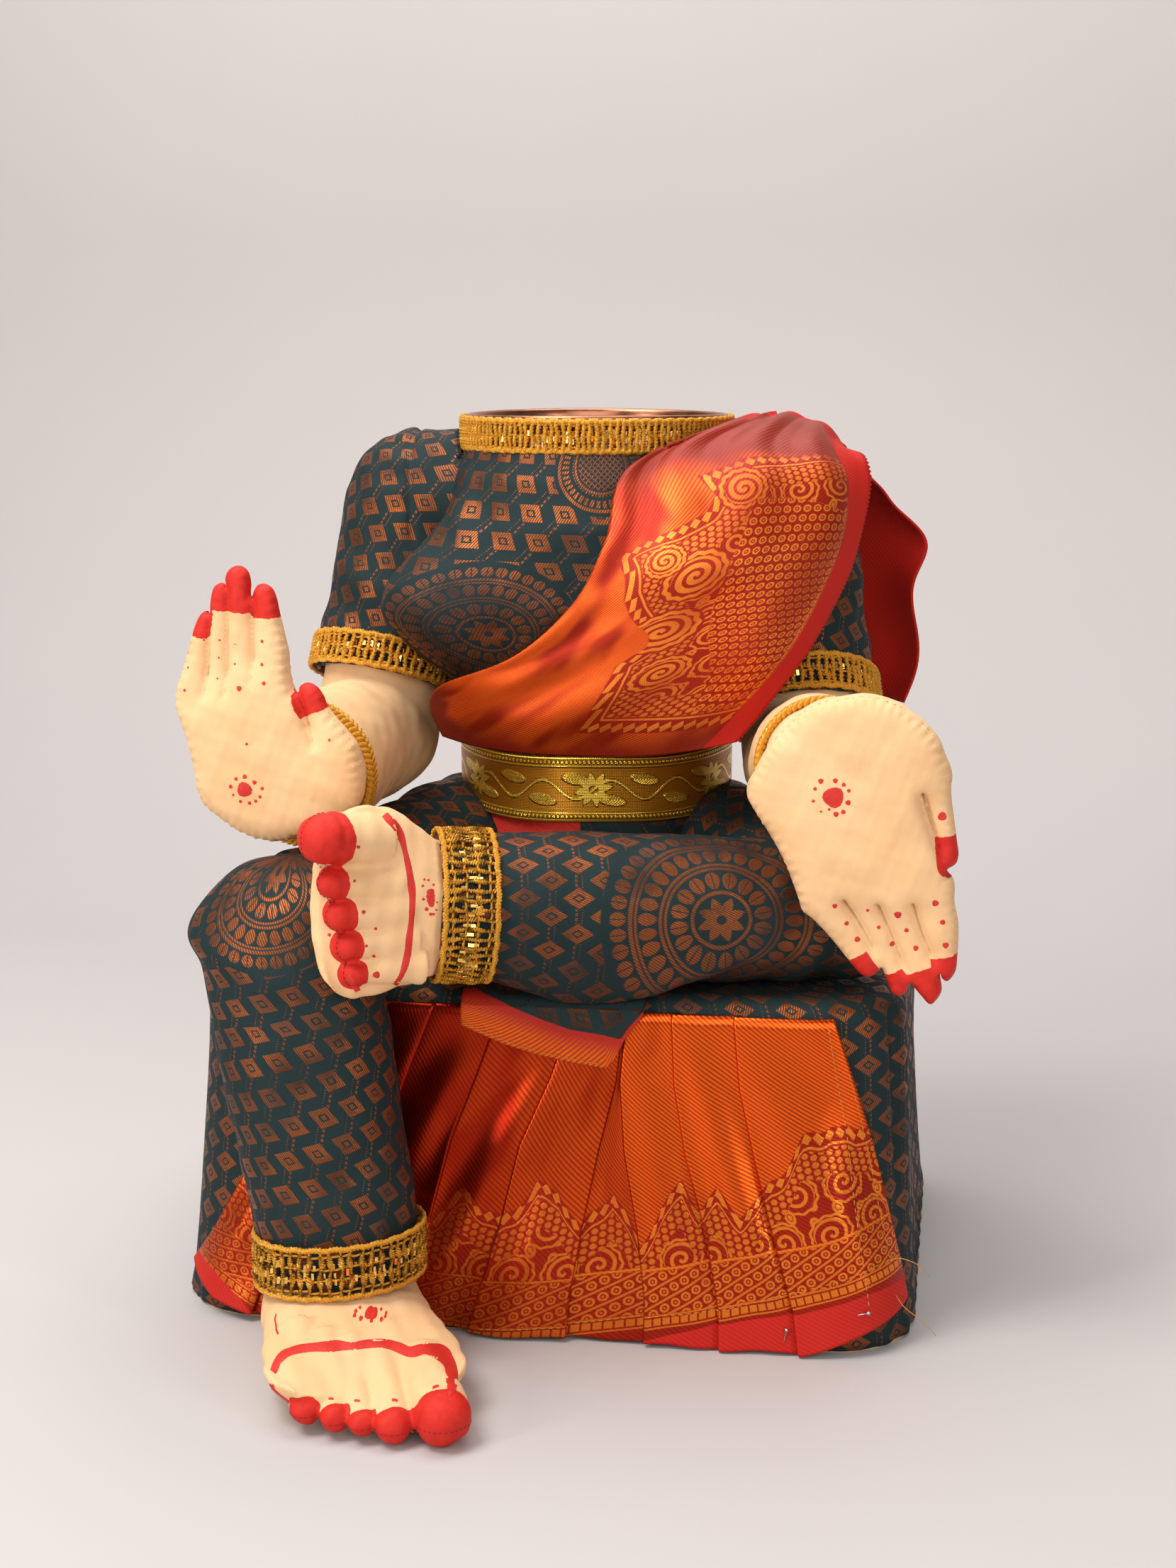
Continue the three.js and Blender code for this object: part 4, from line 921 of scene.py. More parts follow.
# heights along the skirt of its red edge, of the border's foot and of the border's leafy top
RED_TOP = (
    (-158, 26), (-140, 20), (-125, 9), (-110, -8), (38, -8), (39, 0.4), (81.5, 12.5), (113.5, 18.8),
    (142, 26.9), (165, 28.5),
)
BORDER = ((-158, 24), (-120, 6), (-21, -3), (14, 0), (49, 6), (81.5, 12.5), (113, 19.5), (143.5, 28.5), (165, 32))
CREST = (
    (-158, 60), (-140, 78), (-120, 56), (-100, 70), (-80, 50), (-60, 66), (-44, 50), (-28, 62), (-14, 50),
    (3, 67), (12, 66), (21, 49), (34, 65), (46, 43), (55, 60), (63, 71), (70, 60), (78, 68), (88, 60),
    (94, 64), (100, 74), (106, 80), (112, 92), (119, 95), (124, 99), (134, 93), (150, 104), (165, 100),
)


def skirt():
    per, rows = 40, 120
    top = SEAT_H - EDGE
    P, S, Z = [], [], []
    for row in np.linspace(0, 1, rows):
        line = []
        fold = [np.interp(-mix(144, 2, row), [-h for h in HEIGHTS], f[0]) for f in FOLDS]
        full = mix(0.45, 1.0, ease(row * 1.3))
        for k in range(len(FOLDS) - 1):
            a, b = fold[k], fold[k + 1]
            l0, l1 = FOLDS[k][2], FOLDS[k + 1][1]
            t = np.linspace(0, 1, per)
            arch = np.sin(t * math.pi)
            wave = SWELLS[k] * arch**1.3 * (0.75 + 0.25 * math.sin(row * 5 + k * 1.7))
            wave = wave + 0.35 * np.sin(row * 8 + t * 5 + k) * math.sin(row * math.pi) * arch
            high, across, down, phase = RIDGES[k]
            ridge = np.sin(TAU * (t * across + row * down) + phase) * arch**0.6
            wave = wave + high * ridge * ease(row * 4) * (1.1 - 0.6 * row)
            lift = mix(l0, l1, t**1.25 if l0 > l1 else t ** (1 / 1.25)) + wave
            line += list(zip(mix(a, b, t), lift * full))
            if k + 2 < len(FOLDS):
                # the cloth turns back on itself between one panel and the next
                lo, hi = FOLDS[k + 1][1:]
                if hi > lo:
                    turn = [(2.4, lo), (0.9, lo + 0.5), (-0.5, mix(lo, hi, 0.35)), (-0.9, mix(lo, hi, 0.75))]
                    turn.append((-0.4, hi - 0.1))
                else:
                    turn = [(0.4, lo - 0.1), (0.9, mix(lo, hi, 0.25)), (0.5, mix(lo, hi, 0.65))]
                    turn += [(-0.9, hi + 0.5), (-2.4, hi)]
                line += [(b + d, x * full) for d, x in turn]
        s, lift = np.array(line).T
        hem = np.interp(s, (-158, -140, -120, 114, 141, 165), (19, 8, 2.5, 1.2, 10, 19.5)) + 0.5 * np.sin(s / 7)
        z = mix(top + 4, hem, row)
        q = seat_face(s, np.minimum(z, top + 3), lift + 0.9)
        q[:, 1] += np.clip((z - top) / 4, 0, 1) * 2.0
        P.append(q)
        S.append(s)
        Z.append(z)
    P, S, Z = np.array(P), np.array(S), np.array(Z)

    def pick(table):
        return np.interp(S, *zip(*table))

    along = np.linalg.norm(np.diff(P, axis=1), axis=2)
    U = np.broadcast_to(np.concatenate([[0], np.cumsum(along[60:110].mean(0))]), S.shape)
    below = {"selvedge": pick(RED_TOP) - Z, "crest": pick(CREST) - Z + 2.0 * np.sin(S / 2.9)}
    uv = np.stack([U, Z - pick(BORDER)], -1)
    o = grid("skirt_front", P, orange_brocade("skirt_brocade", "skirt"), uv, attributes=below)
    thick(o, 0.6, 0, even=False)
    ride(o, BODY, "skirt_pleats", slot="orange_brocade")
    sheet_area(P) / SKIRT_H * MM
    return o


def sheet_area(P):
    a = P[1:, 1:] - P[:-1, :-1]
    b = P[1:, :-1] - P[:-1, 1:]
    return float(np.linalg.norm(np.cross(a, b), axis=-1).sum() / 2)


SKIRT = skirt()


def on_skirt(line, lift=0.25):
    """Places on the skirt's face from places along and above its foot."""
    tree = tree_of(SKIRT)
    out = []
    for s, z in line:
        far, near = (seat_face(arr(s), arr(z), off)[0] for off in (25.0, 0.0))
        way = unit(near - far)
        at, _ = strike(tree, far, way)
        if at is not None:
            out.append(at - way * lift)
    return out


def skirt_sewing():
    seams = (
        ([(-21.5, 4.2), (14, 6.9), (49, 13), (81.5, 18.8), (113, 28.3), (143.5, 37.3), (163, 38.5)], 90),
        ([(122, 137.6), (126, 115), (131, 90), (134.5, 64.5), (142, 21.5)], 60),
        ([(131, 118), (139, 90), (146, 62), (153, 36)], 50),
    )
    runs = [on_skirt(spline(points, n)) for points, n in seams]
    stitches("skirt_stitches", runs, GILT_THREAD, BODY, "orange_brocade", 0.2, 2.0, 1.3)
    # two pins that hold the hem's red end, and two loose ends of thread
    pins = []
    for s, z, lean in ((134 - ASIDE, 19, (1, 0, 0.25)), (102 - ASIDE, 9, (0.2, 0, 1))):
        at, way = on_skirt([(s, z)], 0.5)[0], unit(arr(*lean))
        stations = [(*(at + way * d), r, r) for d, r in ((-2.2, 0.28), (1.5, 0.3), (2.0, 0.8), (2.6, 0.95))]
        pins.append((limb_points(stations, 12, 0.2, 0.8), False))
    ride(many_tubes("hem_pins", pins, steel("pin_steel")), BODY, slot="steel_wire")
    loose = []
    for place, steps in (
        ((152, 38), ((0, 0, 0), (5, -2, 2), (12, -3, 0), (17, -2, -5))),
        ((156, 23), ((0, 0, 0), (4, -3, -4), (11, -6, -8), (17, -6, -14))),
    ):
        path = spline(on_skirt([place], 0.4)[0] + np.array(steps, float), 24)
        loose.append((tube_points(path, 0.17, 6), False))
    ride(many_tubes("loose_threads", loose, GILT_THREAD), BODY, slot="orange_brocade")


skirt_sewing()


# Torso
PROFILE = [
    (0, 70, 60),
    (WAIST / 2, 64.3, 60),
    (WAIST - 14.5, 60.5, 60),
    (WAIST + 14.5, 60.5, 60),
    (mix(WAIST, 152, 0.6), 60.5, 70.2),
    (152, 60.5, 77),
    (185.5, 60.5, 77),
    (mix(152, 219, 0.8), 62.5, 69.75),
    (219, 62.5, 62.5),
]


def torso_radius(turn, above):
    """Distance from the torso's axis; turn is from the front towards +X, in radians."""
    at, wide, deep = (np.array(c, float) for c in zip(*PROFILE))
    w, d = np.interp(above, at, wide), np.interp(above, at, deep)
    plain = 1 / np.hypot(np.sin(turn) / w, np.cos(turn) / d)
    degrees = np.abs(np.degrees(turn))
    rise = (above - 152) / 32
    return plain + 42 * np.exp(-(((degrees - 50) / 26) ** 2) - rise**2)


def around(turn, r, z):
    return np.stack([AXIS[0] + r * np.sin(turn), AXIS[1] - r * np.cos(turn), z + 0 * r], -1)


def torso_skin(name, low, high, grow, material, rows, nodes, slot, wrinkle, span=(-math.pi, math.pi)):
    cols = 260
    whole = span[1] - span[0] > 6.2
    th = np.linspace(*span, cols, endpoint=not whole)
    T, A = np.meshgrid(th, np.linspace(low, high, rows))
    r = torso_radius(T, A) + grow - 2.4 * ease((A - 205) / 14)
    P = around(T, r, A + SEAT_H)
    n = unit((P - arr(*AXIS, 0)) * (1, 1, 0))
    P = P + n * wrinkle(T, A, P)[..., None]
    U = np.zeros((rows, cols + (1 if whole else 0), 2))
    U[..., 0] = (np.linspace(*span, U.shape[1]) * 66 + 250)[None]
    U[..., 1] = (np.linspace(low, high, rows) * 1.06)[:, None]
    o = grid(name, P, material, U, wrap_cols=whole)
    thick(o, 1.2, -1)
    ride(o, BODY, *nodes, slot=slot)


def bodice_wrinkle(T, A, P):
    deg = np.degrees(T)
    tuck = 1.6 * bump(deg + 0.45 * (A - 150), -22, 5) * bump(A, 190, 26)
    tuck += 1.3 * bump(deg - 0.5 * (A - 150), -62, 6) * bump(A, 176, 24)
    tuck += 1.1 * bump(deg + 1.1 * (A - 190), -40, 5) * bump(A, 196, 16)
    under = -3.0 * bump(A - 0.18 * np.abs(deg + 50), 112, 9) * bump(deg, -50, 34)
    return tuck + under + 0.5 * ripple(P, 26, 3) + 0.2 * ripple(P, 9, 4)


def wrap_wrinkle(T, A, P):
    return 0.7 * np.sin(A / 4.2 + T * 3) * ease((40 - np.abs(A - 38)) / 20) + 0.6 * ripple(P, 20, 6)


bodice_look = green_brocade("bodice_brocade", -0.64, [(222, 150, 31, 1.0)], [(262, 226, 19, 1.0)])
under_bodice = ("bodice", "chest_stuffing", "body_stuffing")
torso_skin("bodice_cloth", WAIST, TORSO_H, 0.0, bodice_look, 96, under_bodice, "green_brocade", bodice_wrinkle)
for name, grow, look, nodes, slot, span in (
    ("wrap_red", 0.0, red_cloth("wrap_brocade"), ("waist_wrap",), "red_cloth", (-190, 8)),
    ("wrap_green", 0.9, green_brocade("wrap_green_brocade", 0.5), (), "green_brocade", (2, 176)),
):
    torso_skin(name, 0.4, WAIST, grow, look, 40, nodes, slot, wrap_wrinkle, np.radians(span))


# Belt ribbon, following the waist, lower in front
def belt():
    cols, width = 300, 29
    th = np.linspace(-math.pi, math.pi, cols, endpoint=False)
    rise = [(0, 0.5), (0, 1.6), (0.03, 1.9), (0.12, 1.75), (0.3, 1.7)]
    profile = rise + [(0.5, 1.7)] + [(1 - h, out) for h, out in rise[::-1]]
    dip = -1.6 * np.cos(th / 2) ** 6
    P = np.zeros((len(profile), cols, 3))
    for i, (h, out) in enumerate(profile):
        a = WAIST - width / 2 + h * width
        r = torso_radius(th, np.full_like(th, a)) + out + 0.3
        P[i] = around(th, r, a + SEAT_H + dip + 0.5 * np.sin(th * 5 + 1))
    length = float(lengths(P[5][np.arange(cols + 1) % cols])[-1])
    across = np.array([h for h, _ in profile]) * width
    uv = np.stack(np.meshgrid(across, np.linspace(0, length, cols + 1) + 13, indexing="ij")[::-1], -1)
    o = outward(grid("belt_ribbon", P, belt_gold("belt_gold"), uv, wrap_cols=True))
    ride(o, BODY, "waist_belt", slot="gold_ribbon")


belt()


# Copper cup in the neck
def cup():
    top, tall, cols = TOP + 15, 88, 180
    bottom = top - tall
    profile = [(0, bottom), (30, bottom), (49.5, bottom), (54, bottom + 1.6), (56.6, bottom + 4.6), (57.5, bottom + 9)]
    profile += [(57.5, z) for z in np.linspace(bottom + 20, top - 3, 8)]
    profile += [(58.4, top - 2.4), (59.0, top - 1.4), (58.8, top - 0.5)]
    profile += [(58.0, top), (57.1, top - 0.3), (56.5, top - 1.2)]
    profile += [(56.3, z) for z in np.linspace(top - 4, bottom + 10, 10)]
    profile += [(55.4, bottom + 5), (52.6, bottom + 2), (48, bottom + 1.2), (30, bottom + 1.2), (0, bottom + 1.2)]
    th = np.linspace(0, TAU, cols, endpoint=False)
    P = np.zeros((len(profile), cols, 3))
    for i, (r, z) in enumerate(profile):
        # the rim is a little out of round and out of level
        bent = 0.35 * ease((z - top + 14) / 14)
        rr = max(r, 0.05) + bent * np.sin(th * 3 + 0.6)
        P[i] = np.stack([rr * np.cos(th), AXIS[1] + rr * np.sin(th), z - bent * (1 + np.sin(th * 2 + 1))], -1)
    o = outward(grid("copper_cup", P, copper_sheet("copper_sheet"), wrap_cols=True))
    ride(o, BODY, "neck_cup", slot="copper")


cup()


# Crochet lace: bands of looped metal thread, with flat bright strips worked in between
def ring_round(centre, along, side, wide, deep, climb=None, tilt=0.0):
    """Gives a function for places round a limb: an angle, a height over the ring's centre and a distance out."""
    up = unit(arr(*along))
    climb = up if climb is None else climb
    b = unit(np.cross(up, arr(*side)))
    a = unit(np.cross(b, up))

    def at(theta, h, out):
        theta, h, out = (v[..., None] for v in np.broadcast_arrays(*(np.asarray(v, float) for v in (theta, h, out))))
        ring = (wide + out) * np.cos(theta) * a + (deep + out) * np.sin(theta) * b
        return arr(*centre) + ring + (h + tilt * np.cos(theta)) * climb

    return at, up


def lace(name, centre, along, side, wide, deep, width, body, node, rib=2.9, tilt=0.0, climb=None):
    """A band of crochet round a limb. centre is its lower edge, along the way its rings face, climb its upward way."""
    at, up = ring_round(centre, along, side, wide, deep, climb, tilt)
    n = max(int(math.pi * (wide + deep) / rib), 12)
    lift = 1.2
    rng = np.random.default_rng(len(name))
    step = TAU / n
    tubes, strips = [], []
    # knobbly edges, each of two threads wound round each other
    for h in (0.8, width - 0.8):
        for phase in (0.0, math.pi):
            th = np.linspace(0, TAU, n * 8, endpoint=False)
            ph = th * n * 1.5 + phase
            path = at(th, h + 0.55 * np.cos(ph) + 0.25 * np.sin(th * n * 0.5), lift + 0.5 + 0.5 * np.sin(ph))
            tubes.append((tube_points(path, 0.72 + 0.2 * np.cos(ph * 2), 6, up, True), True))
    rows = 3 if width > 18 else 2
    for i in range(n):
        th0 = (i + 0.12 * rng.uniform(-1, 1)) * step
        # a rib of two twisted threads
        for phase in (0.0, math.pi):
            t = np.linspace(0, 1, 22)
            ph = t * width / 2.4 * TAU + phase
            theta = th0 + step * (0.16 * np.cos(ph) + 0.1 * np.sin(t * 9 + i))
            path = at(theta, 0.5 + t * (width - 1.0), lift + 0.65 + 0.5 * np.sin(ph))
            tubes.append((tube_points(path, 0.78 + 0.18 * np.sin(ph * 2), 6, up), False))
        # short bars that tie it to the next rib
        for k in range(rows + 1):
            h = mix(0.16, 0.84, k / rows) * width + 0.5 * rng.uniform(-1, 1)
            t = np.linspace(0, 1, 7)
            sag = np.sin(t * math.pi)
            path = at(th0 + t * step, h + 0.5 * sag * rng.uniform(-1, 1), lift + 0.1 + 0.25 * sag)
            tubes.append((tube_points(path, 0.5, 5, up), False))
        # flat strips of mirror foil in the rib
        for k in range(rows):
            h = mix(0.3, 0.7, (k + 0.5) / rows if rows > 1 else 0.5) * width + 0.8 * rng.uniform(-1, 1)
            if rng.uniform(0, 1) < 0.15:
                continue
            long, broad = 1.0 + 0.6 * rng.uniform(0, 1), 0.55
            turn = 1.3 * rng.uniform(-1, 1)
            mid = th0 + step * (0.3 + 0.3 * rng.uniform(0, 1))
            for dh, dt in ((-long, -broad), (-long, broad), (long, broad), (long, -broad)):
                strips.append(at(mid + dt / wide, h + dh, lift + 0.55 + turn * (dt / broad) * 0.4 + 0.2 * turn * dh))
    ride(many_tubes(name, tubes, GOLD), body, node, slot="gold_lace")
    me = mesh_of(f"{name}_foil", np.array(strips), [tuple(range(i, i + 4)) for i in range(0, len(strips), 4)])
    finish_mesh(me, FOIL, smooth=False)
    ride(thick(link(f"{name}_foil", me), 0.14, 0), body, slot="gold_lace")


def braid(name, centre, along, side, wide, deep, width, body, node):
    """A flat plait of three gold cords round a wrist."""
    at, up = ring_round(centre, along, side, wide, deep)
    n = int(math.pi * (wide + deep) / 7)
    tubes = []
    th = np.linspace(0, TAU, n * 14, endpoint=False)
    for k in range(3):
        ph = th * n + k * TAU / 3
        path = at(th, width / 2 + (width / 2 - 1.1) * np.sin(ph), 1.5 + 0.75 * np.sin(2 * ph))
        tubes.append((tube_points(path, 1.15, 7, up, True), True))
    ride(many_tubes(name, tubes, GOLD), body, node, slot="gold_lace")


lace("collar_lace", (*AXIS, TOP - 1.1), UPWARD, ACROSS, 59.3, 59.3, 14.4, BODY, "neck_lace", 2.8)


# Arms. side is -1 for the right arm and 1 for the left one
SHOULDER = dict(out=82, back=3, below=28, radius=36)
SLEEVES = {
    -1: dict(drop=80, spread=13, forward=22, elbow=22, mouth=5),
    1: dict(drop=92, spread=14, forward=20, elbow=19, mouth=17),
}
SLEEVE_R, ELBOW_R = 34, 29
PALM_T, PALM_SINK = 12.5, 5
PALMS = {-1: (-118, -SEAT_D / 2 + 1, SEAT_H + 95), 1: (122.5, -SEAT_D / 2 - 12, SEAT_H + 88.5)}
WRISTS = {-1: (-107.5, SEAT_H + 87.5), 1: (115, SEAT_H + 99)}


def turned(v, axis, degrees):
    return np.array(Matrix.Rotation(math.radians(degrees), 3, Vector(axis)) @ Vector(v))


def arm_frame(side):
    own = SLEEVES[side]
    top = arr(side * SHOULDER["out"], AXIS[1] + SHOULDER["back"], TOP - SHOULDER["below"])
    low = top + arr(side * own["spread"], -own["forward"], -own["drop"])
    down = unit(low - top)
    pivot = low + own["elbow"] * down
    palm = arr(*PALMS[side])
    hand = arr(WRISTS[side][0], palm[1] + PALM_T - PALM_SINK, WRISTS[side][1])
    return top, low, down, pivot, hand, palm


def wrap_uv(o, place, period):
    """Cloth coordinates from each corner's place, without a jump where the first one closes on itself."""
    me = o.data
    loops, starts, totals = (np.zeros(len(v), int) for v in (me.loops, me.polygons, me.polygons))
    me.loops.foreach_get("vertex_index", loops)
    me.polygons.foreach_get("loop_start", starts)
    me.polygons.foreach_get("loop_total", totals)
    out = place(points_of(o))[loops]
    first = np.repeat(out[starts, 0], totals)
    out[:, 0] -= np.round((out[:, 0] - first) / period) * period
    me.uv_layers.new(name="cloth").data.foreach_set("uv", out.ravel())


def cut_open(o, at, way):
    """Takes away what lies beyond a plane and leaves the edge open."""
    bm = bmesh.new()
    bm.from_mesh(o.data)
    whole = bm.verts[:] + bm.edges[:] + bm.faces[:]
    bmesh.ops.bisect_plane(bm, geom=whole, plane_co=Vector(at) * MM, plane_no=Vector(way), clear_outer=True)
    bm.to_mesh(o.data)
    bm.free()


def sleeve(side, name):
    top, low, down, *_ = arm_frame(side)
    length = float(np.linalg.norm(low - top))
    turn = SLEEVES[side]["mouth"]
    mouth = turned(down, ACROSS, -turn)
    st = []
    for x in np.linspace(0, 1.35, 20):
        r = mix(SHOULDER["radius"], SLEEVE_R, min(x * 1.2, 1)) - 0.5
        st.append((*(top + down * length * x), r, r))
    hanging = limb_points(st, 64, round_start=35.5)
    level = [(side * x, top[1], top[2], 35.4, 35.4) for x in (50, 60, 72, 82)]
    yoke = limb_points(level, 64, round_end=30, side=INWARD)
    girth, lace_r = TAU * 34.5, 33.8

    def soften(co, no):
        rel = co - top
        along = rel @ down
        x = along / length
        ring = rel - along[:, None] * down
        th = np.arctan2(ring[:, 1], ring[:, 0] * side)
        # a gathered armhole, creases where the arm bends forward, and small folds at the mouth
        seam = np.abs(co[:, 0]) - 79 - 0.10 * (co[:, 2] - 338)
        push = -1.5 * bump(seam, 0, 1.6) * ease((co[:, 2] - 318) / 16)
        gathers = np.sin(np.arctan2(co[:, 1] - top[1], co[:, 2] - 330) * 15)
        push += gathers * bump(seam, 6, 5) * ease((co[:, 2] - 335) / 12)
        push += 1.1 * np.sin(x * 17 + 2.4 * np.sin(th + 0.7)) * bump(x, 0.62, 0.3)
        push += 0.8 * np.sin(th * 17 + 1.3) * bump(x, 1.0, 0.16) + 0.5 * ripple(co, 20, 7)
        q = co + no * (push - 0.5)[:, None]
        # it stays outside the lace round the neck
        flat = q[:, :2] - AXIS
        far = np.linalg.norm(flat, axis=1)
        keep = np.where((q[:, 2] > 362) & (far < 63.2), 63.2 / np.maximum(far, 1), 1)
        q[:, :2] = AXIS + flat * keep[:, None]
        return q

    mat = green_brocade(f"{name}_sleeve_brocade", 0.42 if side < 0 else -0.3, [(10.0, 62.0, 24.0, 0.8)])
    o = fuse(f"{name}_sleeve_cloth", [hanging, yoke], mat, 1.5, 5, soften)
    cut_open(o, low, mouth)

    def place(co):
        rel = co - top
        along = rel @ down
        ring = rel - along[:, None] * down
        th = np.arctan2(ring[:, 0] * side, -ring[:, 1])
        wide = np.maximum(np.linalg.norm(ring, axis=1), 0.1)
        v = np.where(along < 0, -35.5 * np.arctan2(-along, wide), along)
        return np.stack([th * girth / TAU, -v], 1)

    wrap_uv(o, place, girth)
    thick(o, 1.2, -1, even=False)
    ride(o, BODY, f"{name}_sleeve", f"{name}_upper_wire", slot="green_brocade")
    slant = math.cos(math.radians(turn))
    lace(
        f"{name}_cuff_lace", low - down * 0.2, -mouth, ACROSS, lace_r, lace_r / slant, 15,
        BODY, f"{name}_sleeve_lace", 3.4, climb=-down / slant,
    )


def forearm(side, name, body):
    _, low, down, pivot, hand, _ = arm_frame(side)
    way, reach = unit(hand - pivot), float(np.linalg.norm(hand - pivot))
    above = 12
    r = ELBOW_R - 0.2
    st = [(*(low + down * d), r, r) for d in np.linspace(-above, SLEEVES[side]["elbow"], 6)]
    stub = limb_points(st, 36, round_end=ELBOW_R)
    st = []
    for x in np.linspace(0, 1, 12):
        r = ELBOW_R - 0.6 * x - 1.2 * bump(x, 0.35, 0.12) + 0.6 * bump(x, 0.62, 0.2) - 4.2 * ease((x - 0.8) / 0.12)
        st.append((*(pivot + way * reach * x), r, r))
    tube = limb_points(st, 36, round_start=ELBOW_R)

    def soften(co, no):
        return co + no * (0.45 * ripple(co, 34, 5) + 0.2 * ripple(co, 13, 8))[:, None]

    o = fuse(f"{name}_forearm_skin", [stub, tube], SKIN, 1.5, 8, soften)
    set_attribute(o, "tip", np.full(len(o.data.vertices), UNPAINTED))
    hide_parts(f"{name}_forearm", f"{name}_upper_arm", f"{name}_forearm_wire")
    tuple(low * MM)
    tuple((pivot + down * 4) * MM)
    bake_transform(o)
    # the right bangle hangs loose below the palm
    loose = 3.2 if side < 0 else 0.0
    drop = arr(-0.6, 0, -0.8)
    drop = unit(drop - way * float(drop @ way)) * loose
    r = 25.6 + loose
    braid(f"{name}_bangle_braid", hand - way * 20.5 + drop, way, ACROSS, r, r, 7.5, body, f"{name}_bangle")


# Hands: flat mittens sewn from two faces of cotton and stuffed. Each place is (x, z) in millimetres.
RIGHT_EDGE = [
    (-129.8, 211.9), (-136.2, 216.4), (-142.5, 221.1), (-145.7, 225.8), (-147.1, 232.2), (-148.1, 239.3),
    (-149.7, 247.2), (-151.7, 253.5), (-154.3, 260.5), (-155.2, 266.8), (-154.6, 271.6), (-152.9, 276.3),
    (-151.1, 281.8), (-149.4, 287.3), (-147.8, 292.4), (-146.3, 296.8), (-144.2, 301.1), (-142.1, 303.1),
    (-140.3, 303.4), (-139.7, 302.2), (-139.2, 307.8), (-137.8, 312.8), (-135.1, 314.9), (-132.9, 314.8),
    (-132.4, 313.4), (-132.7, 317.1), (-131.2, 320.2), (-128.4, 322), (-125.2, 321.9), (-122.6, 319.4),
    (-121.7, 315), (-122, 311.1), (-121.5, 309.4), (-120.7, 311.9), (-118.9, 314.4), (-115.8, 314.9),
    (-112.7, 313), (-111, 309), (-110.1, 304.4), (-108.9, 299), (-107.5, 292.8), (-106.3, 287.4),
    (-106.1, 281.2), (-105.6, 276.6), (-104.5, 271.9), (-102.7, 270.4), (-102.1, 273.1), (-98.5, 274.7),
    (-94.7, 272.9), (-92.1, 269.4), (-90.7, 265.8), (-87.6, 261.4), (-82.9, 256), (-78.3, 249.9),
    (-76.4, 243.6), (-75.3, 237.4), (-75.4, 230.3), (-78, 223.9), (-83.6, 219.7), (-90.9, 215.5), (-99, 211.7),
    (-103.9, 210.3), (-108, 208.5), (-115.3, 207.6), (-123.3, 209.3),
]
RIGHT_SEAMS = [
    [(-138.7, 302.5), (-139.4, 290.3), (-140.1, 279.3), (-141.4, 269.1)],
    [(-131.4, 313.7), (-131.1, 303.6), (-131.4, 288.1), (-131.9, 276.4), (-132.3, 269.4)],
    [(-120.6, 309.8), (-120.4, 297.6), (-120.4, 286), (-120.9, 275.9)],
    [(-103.3, 271.7), (-101, 265.8), (-98, 257.7), (-94.9, 249)],
]
RIGHT_FINGERS = [
    ((-147.3, 272.9), (-141.2, 301.9), (-142.7, 292.4), 7.5),
    ((-136.4, 273.2), (-134.4, 313.5), (-135, 303.7), 7.5),
    ((-126.8, 273.4), (-125.5, 320.6), (-126.4, 303.2), 7.2),
    ((-113.5, 276.8), (-115.4, 313.5), (-115.7, 301.1), 9.5),
    ((-86.3, 249.4), (-96.9, 273.3), (-95.1, 262.6), 7.5),
]
RIGHT_DOTS = [
    (-148, 280.4, 0.5), (-149.1, 271.2, 0.64), (-141.3, 291.8, 0.43), (-134.5, 291.9, 0.5),
    (-135.1, 284.6, 0.43), (-135.6, 276.1, 0.43), (-127.8, 290.4, 0.29), (-127.8, 282.4, 0.5),
    (-125.4, 272.7, 1.14), (-116.1, 291.9, 0.71), (-116.1, 282.5, 0.71), (-114.8, 275.1, 0.86),
    (-88.1, 252.2, 0.57), (-122, 250.2, 0.64),
]
RIGHT_FLOWER = [
    (-123.4, 231.2, 3.21), (-129.3, 232.3, 0.86), (-126.9, 235.6, 0.79), (-123.2, 236.6, 1),
    (-119.2, 234.3, 0.93), (-116, 231.8, 0.79), (-117, 228.3, 0.71), (-119, 226.4, 0.71),
    (-121.7, 225.5, 0.79), (-125.4, 226.1, 0.71), (-128.4, 228.8, 0.57),
]
LEFT_EDGE = [
    (118.4, 275.6), (122.7, 276.4), (128.6, 277.3), (135.5, 276.4), (142.3, 274.1), (146.6, 271.2),
    (151.4, 267.8), (155.7, 263.6), (158.8, 259.4), (160.6, 254.6), (162.9, 249.5), (163.8, 245.2),
    (163.4, 240.8), (164.1, 233.8), (165.2, 226.8), (166.2, 219.8), (167, 214.6), (166.2, 210.6),
    (163.7, 208.7), (162.5, 208.3), (163.4, 206.7), (164.9, 205.2), (165.9, 201.7), (166, 195.1), (167.5, 188),
    (167.9, 180.9), (167.7, 173.8), (167.1, 167), (164.2, 162.7), (162, 163.7), (160.9, 166.1), (161.9, 159.1),
    (160, 154.9), (157.4, 152.8), (154.2, 155.9), (151, 159.6), (149.4, 161.5), (148, 157.6), (145.5, 155.9),
    (142.4, 157), (139.9, 162.7), (138.1, 167.2), (137, 166), (133.8, 163.2), (130.3, 163.9), (127.4, 166.7),
    (124.7, 169.8), (120.3, 175.4), (114.9, 181.5), (110.5, 185.9), (106.2, 189.3), (104.7, 193.7),
    (102.4, 199.9), (99.7, 207), (95.2, 215.7), (89.8, 224.5), (85.8, 230.6), (83.6, 234.9), (83.7, 240.2),
    (86.5, 245.6), (89.5, 251.9), (94.6, 259.9), (99.7, 265.3), (103.9, 269.7), (109.9, 273.5), (115, 275.4),
]
